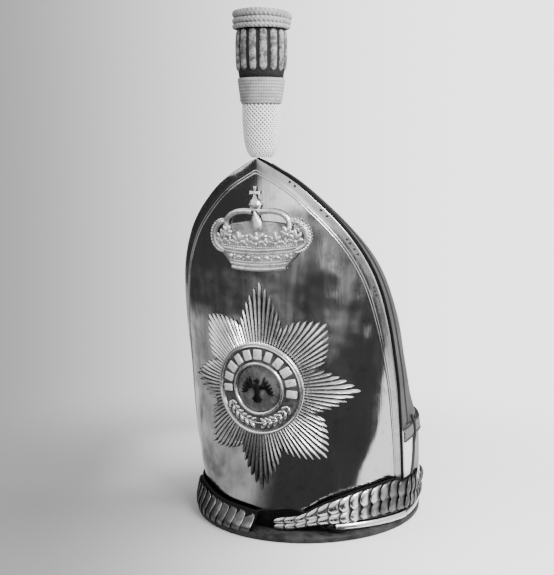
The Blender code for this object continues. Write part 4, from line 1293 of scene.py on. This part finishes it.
def turned(rows, uvRadius):
    # upright turned body from radius and height pairs; U runs round it and V up it, both in metres
    bm = bmesh.new()
    spin(bm, [(radius, 0, z) for radius, z in rows], (0, 0, 1), 64)
    fillHoles(bm)
    x, y = pompom["axis"]
    bmesh.ops.translate(bm, verts=bm.verts, vec=(x, y, 0))
    layer = bm.loops.layers.uv.new("flat")
    for face in bm.faces:
        turns = [atan2(corner.vert.co.x - x, y - corner.vert.co.y) for corner in face.loops]
        for corner, turn in zip(face.loops, turns):
            if max(turns) - min(turns) > pi and turn < 0:
                turn += tau
            corner[layer].uv = (turn * uvRadius, corner.vert.co.z)
    return bm


def column(radiusAt, low, high, count):  # profile from the axis out, up and back to the axis
    ups = np.linspace(0, 1, count)
    core = pompom["core"]
    return [(core, low.z)] + [(radiusAt(u), low.z + (high.z - low.z) * u) for u in ups] + [(core, high.z)]


def buildStem():
    low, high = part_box("pompom_stem")

    def radiusAt(up):
        return 0.0072 + 0.0066 * tableCurve(pompom["stem"], 1, up)

    core = turned(column(lambda u: radiusAt(u) - 0.0011, low, high, 14), 0.0135)
    finishPiece("stem_core", core, stemWool, ["pompom_stem"])
    bm = bmesh.new()
    ups = np.linspace(0.0, 0.995, 34)
    for way in (-1, 1):
        reach = radiusAt(ups) - pompom["netRadius"] - 0.00015 * (1 + way)
        for number in range(pompom["netCords"]):
            turn = tau * number / pompom["netCords"] + way * ups * pompom["netTurn"]
            addTube(bm, aroundAxis(turn, reach, low.z + (high.z - low.z) * ups), pompom["netRadius"], 1)
    finishPiece("stem_net", bm, netCord)


def buildPompomBand():
    low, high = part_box("pompom_band")
    core, tall = pompom["core"], high.z - low.z
    rows = [(core, low.z), (0.0137, low.z), (0.0144, low.z + 0.0006)]
    ups = np.linspace(0.08, 0.94, 12)
    rows += [(0.0144 + 0.0026 * u + 0.0002 * sin(u * pi), low.z + tall * u) for u in ups]
    bm = turned(rows + [(0.0165, high.z - 0.0002), (core, high.z)], 0.0155)
    finishPiece("woven_band", bm, wovenTape, ["pompom_band"])
    pins = bmesh.new()
    for azimuth, up in pompom["pins"]:
        place = aroundAxis(radians(azimuth) - pi / 2, 0.0149, low.z + up)
        bmesh.ops.create_uvsphere(
            pins, u_segments=10, v_segments=8, radius=0.0009, matrix=Matrix.Translation(place),
        )
    finishPiece("band_pins", pins, sheetMetal)


def buildBarrel():
    low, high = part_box("pompom_barrel")

    def radiusAt(up):
        return pompom["barrelReach"] * tableCurve(pompom["barrel"], 1, up) / 0.97

    core = turned(column(radiusAt, low, high, 12), 0.017)
    finishPiece("barrel_core", core, darkWool, ["pompom_barrel"])
    bm = bmesh.new()
    x, y = pompom["axis"]
    for number in range(pompom["ribs"]):
        turn = tau * (number + 0.30) / pompom["ribs"]

        def place(u, v):
            up = 0.13 + 0.87 * u
            end = np.clip(np.minimum(u * 8, (1 - u) * 14), 0, 1)
            full = np.sqrt(np.maximum(1 - (1 - end) ** 2, 0.02))
            side = pompom["ribWidth"] / 2 * full * np.cos(v * tau)
            out = radiusAt(up) + 0.0015 * full * np.sin(v * tau)
            ux, uy = sin(turn), -cos(turn)
            return points(x + ux * out - uy * side, y + uy * out + ux * side, low.z + (high.z - low.z) * up)

        joinTo(bm, tubeGrid(26, 12, place, uv=lambda flat: flat[:, ::-1] * (10, 60)))
    finishPiece("bullion_ribs", bm, bullionThread)


def buildRimCords():
    low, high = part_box("pompom_rim")
    bm = bmesh.new()
    bottom = low.z
    strands = pompom["strands"]
    for number, radius in enumerate(pompom["cordRadii"]):
        level = bottom + radius
        bottom += 1.83 * radius

        def place(u, v):
            turn, around = u * tau, v * tau
            thick = radius * (0.96 + 0.04 * np.sin(turn * 5 + number))
            thick = thick - 0.00012 * np.abs(np.sin(turn * strands / 2 + around))
            facing = np.cos(turn) * pompom["pulled"][0] + np.sin(turn) * pompom["pulled"][1]
            pulled = number / 2 * np.clip(facing, 0, 1) ** 2
            out = pompom["cordReach"] - radius + thick * np.cos(around) + 0.0014 * pulled
            return aroundAxis(turn, out, level + thick * np.sin(around) - 0.0018 * pulled)

        joinTo(bm, tubeGrid(200, 14, place, closeEnds=False, uv=lambda flat: flat * (strands * 2, 4)))
    finishPiece("rim_cords", bm, woolCord, ["pompom_rim"])
    rows = ((0.0183, 0.0045), (0.0172, 0.0030), (0.0140, 0.0026), (0.0080, 0.0030), (pompom["core"], 0.0034))
    top = turned([(0.0183, low.z + 0.0005)] + [(reach, high.z - down) for reach, down in rows], 0.0183)
    finishPiece("pompom_crown", top, darkWool)


buildStem()
buildPompomBand()
buildBarrel()
buildRimCords()
print("pompom built")

# chin strap

strap = {
    "rightReach": 0.165,
    "leftReach": 0.100,
    "height": 0.0405,
    "rightPitch": 0.0076,
    "leftPitch": 0.0074,
    "dome": 0.0036,
    "leather": 0.0018,
    "margin": 0.0036,
    "overhang": 0.0022,
    "tongue": 0.0025,
    "headbandProud": 0.0008,
    # along, low, high and how much of the tongue lies under the strap, as shares
    "right": (
        (0.073, 0.163, 0.285, 1.0), (0.121, 0.168, 0.333, 1.0), (0.182, 0.215, 0.383, 1.0),
        (0.224, 0.255, 0.465, 1.0), (0.273, 0.285, 0.580, 1.0), (0.352, 0.300, 0.710, 0.9),
        (0.442, 0.325, 0.810, 0.3), (0.533, 0.355, 0.880, 0.0), (0.636, 0.360, 0.945, 0.0),
        (0.733, 0.340, 0.945, 0.0), (0.818, 0.315, 0.920, 0.0), (1.000, 0.310, 0.850, 0.0),
    ),
    "left": (
        (0.04, 0.105, 0.385, 1.0), (0.10, 0.095, 0.400, 1.0), (0.20, 0.085, 0.415, 0.5),
        (0.36, 0.075, 0.432, 0.0), (0.50, 0.075, 0.470, 0.0), (0.62, 0.075, 0.515, 0.0),
        (0.78, 0.080, 0.520, 0.0), (0.90, 0.087, 0.480, 0.0), (1.00, 0.100, 0.455, 0.0),
    ),
}


def rightBack(share):  # stand-off of the right strap's back, over the headband and the tongue
    over = tableCurve(strap["right"], 3, share)
    side = np.clip((share - 0.42) / 0.12, 0, 1)
    gap = shape["gap"]
    return gap + (strap["headbandProud"] + gap) * side + over * (strap["tongue"] + gap)


def rimReach(along):  # how far the rim stands out from the body
    spot = girthSpot(along, rimHigh.z + 0 * along, 0 * along)
    ahead = girthSpot(along, rimHigh.z + 0 * along, 0 * along + 1) - spot
    x, y = spot[..., 0], spot[..., 1] - middleY
    wide, long = rim["halfWidth"] ** -2, rim["halfLength"] ** -2
    a = wide * ahead[..., 0] ** 2 + long * ahead[..., 1] ** 2
    b = wide * x * ahead[..., 0] + long * y * ahead[..., 1]
    c = wide * x**2 + long * y**2 - 1
    return (np.sqrt(b * b - a * c) - b) / a


def leftBack(share):
    reach = rimReach(-strap["leftReach"] * share) + strap["overhang"]
    return np.maximum(reach - strap["leather"] - strap["dome"] - shape["gap"], 2 * shape["gap"])


def buildStrap(name, table, reach, side, backAt, edged):
    # the right strap is edged: it has a leather margin over two rows of lobes
    rows = np.array(table)
    first = rows[0, 0] - (0 if edged else 0.03)

    def heights(share):
        return [strap["height"] * tableCurve(rows, column, share) for column in (1, 2)]

    def standing(share, v):  # the left strap leans in against the plate at its top
        back = backAt(np.clip(share, first, 1))
        return back if edged else back - (back - 0.0012) * 0.86 * smooth(v, 0.2, 1.1)

    def leather(u, v):
        share = first + (1 - first) * u
        low, high = heights(share)
        high = high + strap["margin"] * (1 - smooth(share, 0.62, 0.66) if edged else 0.5)
        corners = v * 8
        up = np.interp(corners, (0, 0.5, 1, 4, 4.3, 5, 8), (0, 0, 0.04, 0.96, 1, 1, 0))
        thick = np.interp(corners, (0, 0.5, 1, 4, 4.6, 5, 8), (0, 0, 1, 1, 0.4, 0, 0))
        out = standing(share, up) + strap["leather"] * thick
        return girthSpot(side * reach * share, low + (high - low) * up, out)

    finishPiece(name + "_leather", tubeGrid(120, 8, leather), leatherBlack, sharp=45)

    def lobes(v):
        if not edged:  # one lobe the full height of the left strap
            return 0.55 * np.sin(pi * np.clip(v, 0, 1)) ** 0.6
        upper = np.sin(pi * np.clip((v - 0.44) / 0.56, 0, 1))
        lower = np.sin(pi * np.clip(v / 0.44, 0, 1))
        return np.where(v > 0.44, upper, lower * 0.85) ** 0.7

    bm = bmesh.new()
    count = round((1 - first) * reach / strap["rightPitch" if edged else "leftPitch"])
    pitch = (1 - first) / count
    for number in range(count):
        start = first + pitch * number

        def scale(u, v):
            lobe = lobes(v)
            share = start + pitch * (0.34 - 0.44 * lobe + u * (0.96 + 0.30 * lobe))
            share = np.clip(share, first - 0.004, 1.0)
            low, high = heights(np.clip(share, first, 1))
            if edged:
                high = high + strap["margin"] * 0.8 * (1 - smooth(share, 0.62, 0.66))
            full = np.minimum(2 * (high - low) / strap["height"], 1)
            pillow = np.sin(pi * np.clip(u * 1.15 + 0.05, 0, 1))
            lift = strap["dome"] * (0.30 + 0.42 * lobe) + 0.0016 * (1 - u) + 0.0010 * lobe * pillow
            out = standing(share, v) + strap["leather"] + 0.0002 + lift * full
            return girthSpot(side * reach * share, low + (high - low) * v, out)

        made, flat = sheetGrid(8, 20, scale)
        u, v = flat.T
        # painted shade: the part of each scale under the next one, the valley between the lobes, the lower
        # row and the scales further round are painted darker; the left strap is painted dark all over and
        # darkest at its foot
        if edged:
            front = 1 - smooth(start, 0.30, 0.46)
            hidden = smooth(u, 0.36 + 0.16 * front, 0.62 + 0.16 * front)
            valley = np.exp(-(((v - 0.44) / 0.09) ** 2)) * (1 - 0.5 * front)
            paintedLight = (1 - 0.88 * smooth(start, 0.42, 0.56)) * (1 - 0.85 * valley)
            paintedLight = paintedLight * np.where(v > 0.44, 1.0, 0.42 + 0.45 * front)
        else:
            hidden = smooth(u, 0.3, 0.54)
            paintedLight = (0.13 - 0.09 * smooth(start, 0.10, 0.36)) * smooth(v, 0.0, 0.2)
        mark(made, "rise", (1 - 0.95 * hidden) * paintedLight)
        if side < 0:
            bmesh.ops.reverse_faces(made, faces=made.faces)
        joinTo(bm, made)
    piece = finishPiece(name + "_scales", bm, castMetal, [name], recalculate=False)
    addWall(piece, 0.0005)


buildStrap("scales_right", strap["right"], strap["rightReach"], 1, rightBack, True)
buildStrap("scales_left", strap["left"], strap["leftReach"], -1, leftBack, False)
print("chin strap built")

# floor, lights and what the shiny surfaces see

studio = {
    "floorInner": 0.20,
    "floorOuter": 0.46,
    "cardInner": 0.10,
    "cardOuter": 6.0,
    "sight": (0.883, 0.4695, 0.0),  # level direction to the camera's right
    "ahead": (-0.4695, 0.883, 0.0),
    "away": 0.82,
}


def paintFloor(place):
    fibre = noise(place, 350, 3, 0.6)
    sideways = measure(place, "DOT_PRODUCT", studio["sight"])
    ahead = measure(place, "DOT_PRODUCT", studio["ahead"])
    aside = sideways / (ahead + studio["away"]).join("MAXIMUM", 0.35)
    # painted light: the floor is painted darker to the camera's left and lighter to its right, as the light
    # falls off
    tone = blend(span(aside, -0.30, 0.20), 0.235, 0.95)
    # painted light lifts the cast shadow beside and behind the cap's left, so it ends sooner
    shadowLift = span(sideways, -0.20, -0.11) * (1 - span(sideways, -0.08, 0.0))
    shadowLift = shadowLift * span(ahead, 0.0, 0.06) * (1 - span(ahead, 0.17, 0.25))
    tone = blend(shadowLift * 0.5, tone, 0.95)
    tone = blend(fibre * 0.06, tone, 0.5)
    fade = 1 - span(measure(place, "LENGTH"), studio["floorInner"], studio["floorOuter"])
    return {"Base Color": tone, "Roughness": 0.9, "Alpha": fade, "Normal": raised(fibre, 0.05, 0.0005)}


def paintCard(place):
    # light that only the shiny surfaces see: bright paper at the left and right, a dark room beyond it
    x, y, _ = parts(place)
    distance = measure(place, "LENGTH")
    azimuth = x.join("ARCTAN2", 0 - y)
    cloud = noise(place, 9, 4, 0.6)
    polar = addNode(place.tree, "ShaderNodeCombineXYZ", None, {0: azimuth * 9, 1: distance * 1.5})
    streaks = noise(polar, 1, 3, 0.6)
    paper = (1 - span(azimuth + (cloud - 0.5) * 0.3, -0.36, -0.10)) * (1 - span(distance, 0.74, 0.84))
    window = span(azimuth - span(distance, 0.12, 0.32) * 0.27, 0.98, 1.02) * (1 - span(distance, 0.40, 0.47))
    leftRim = 1 - span(azimuth, -1.95, -1.80)
    far = span(distance + azimuth * 0.28, 0.76, 0.86) * span(azimuth, -0.42, -0.15)
    top = span(distance, 1.0, 1.25) * span(azimuth, -0.50, -0.36)
    slant = (azimuth + distance * 1.6 - 1.57).join("ABSOLUTE")
    beam = (1 - span(slant, 0.02, 0.08)) * span(distance, 0.56, 0.66) * (1 - span(distance, 0.78, 0.9))
    second = (1 - span((azimuth + 0.07).join("ABSOLUTE"), 0.01, 0.05)) * span(distance, 0.74, 0.82)
    tone = beam * 0.42 + second * (1 - top) * 0.2 + 0.022 + cloud * 0.036
    tone = tone + paper * (0.10 + span(cloud, 0.3, 0.7) * 0.42) + window * 1.4 + leftRim * 0.35
    tone = tone + far * (0.05 + span(streaks, 0.50, 0.62) * 0.75) + top * 1.5
    return {"Base Color": 0.0, "Emission Color": greyWire(tone), "Roughness": 1.0}


def buildFloor():
    bm = bmesh.new()
    bmesh.ops.create_circle(bm, cap_ends=True, segments=96, radius=studio["floorOuter"] * 1.02)
    floor = makeObject("floor", bm, makeMaterial("pale floor", paintFloor, Specular_IOR_Level=0.0))
    floor.location.z = -0.0002
    bm = bmesh.new()
    for radius in (studio["cardInner"], studio["cardOuter"]):
        bmesh.ops.create_circle(bm, segments=96, radius=radius)
    bmesh.ops.bridge_loops(bm, edges=bm.edges)
    paper = makeMaterial("reflection card", paintCard, Emission_Strength=1.0, Specular_IOR_Level=0.0)
    card = makeObject("reflection_card", bm, paper)
    card.location.z = 0.0002
    card.visible_camera = False
    card.visible_diffuse = False
    card.visible_shadow = False
    card.visible_transmission = False


def addLamp(name, place, size, power, glossy=True):
    data = bpy.data.lights.new(name, "AREA")
    data.shape = "RECTANGLE"
    data.size, data.size_y = size
    data.energy = power
    lamp = addObject(name, data)
    aim(lamp, place, Vector((0, 0, 0.12)) - Vector(place))
    lamp.visible_glossy = glossy


def buildWorld():
    world = bpy.data.worlds.new("studio")
    bpy.context.scene.world = world
    world.use_nodes = True
    tree = world.node_tree
    tree.nodes.clear()
    direction = addNode(tree, "ShaderNodeTexCoord", output=0)
    x, y, z = parts(direction)
    azimuth = x.join("ARCTAN2", 0 - y)  # 0 in front, positive to the right
    right = span(azimuth, 1.0, 1.3) * (1 - span(azimuth, 2.2, 2.6)) * (1 - span(z, 0.5, 0.8))
    wall = span(azimuth, -0.50, -0.30) * (1 - span(azimuth, 1.0, 1.3)) * (1 - span(z, 0.35, 0.55))
    studioTone = 0.04 + right * 1.2 + wall * 0.9 + span(z, 0.30, 0.60) * 0.9
    backTone = span(measure(direction, "DOT_PRODUCT", studio["sight"]), -0.30, 0.22, 0.48, 2.9)
    seen = addNode(tree, "ShaderNodeLightPath", output=0)
    tone = studioTone * (1 - seen) + seen * backTone
    background = addNode(tree, "ShaderNodeBackground", None, {"Color": greyWire(tone), "Strength": 1.0})
    output = tree.nodes.new("ShaderNodeOutputWorld")
    tree.links.new(background.socket, output.inputs["Surface"])


buildFloor()
buildWorld()
addLamp("key", (0.95, -0.45, 0.85), (0.6, 0.6), 26)
addLamp("side", (0.95, 0.42, 0.95), (0.9, 0.9), 24, glossy=False)
addLamp("fill", (-0.9, -1.0, 0.9), (1.0, 1.0), 6)
print("studio built")
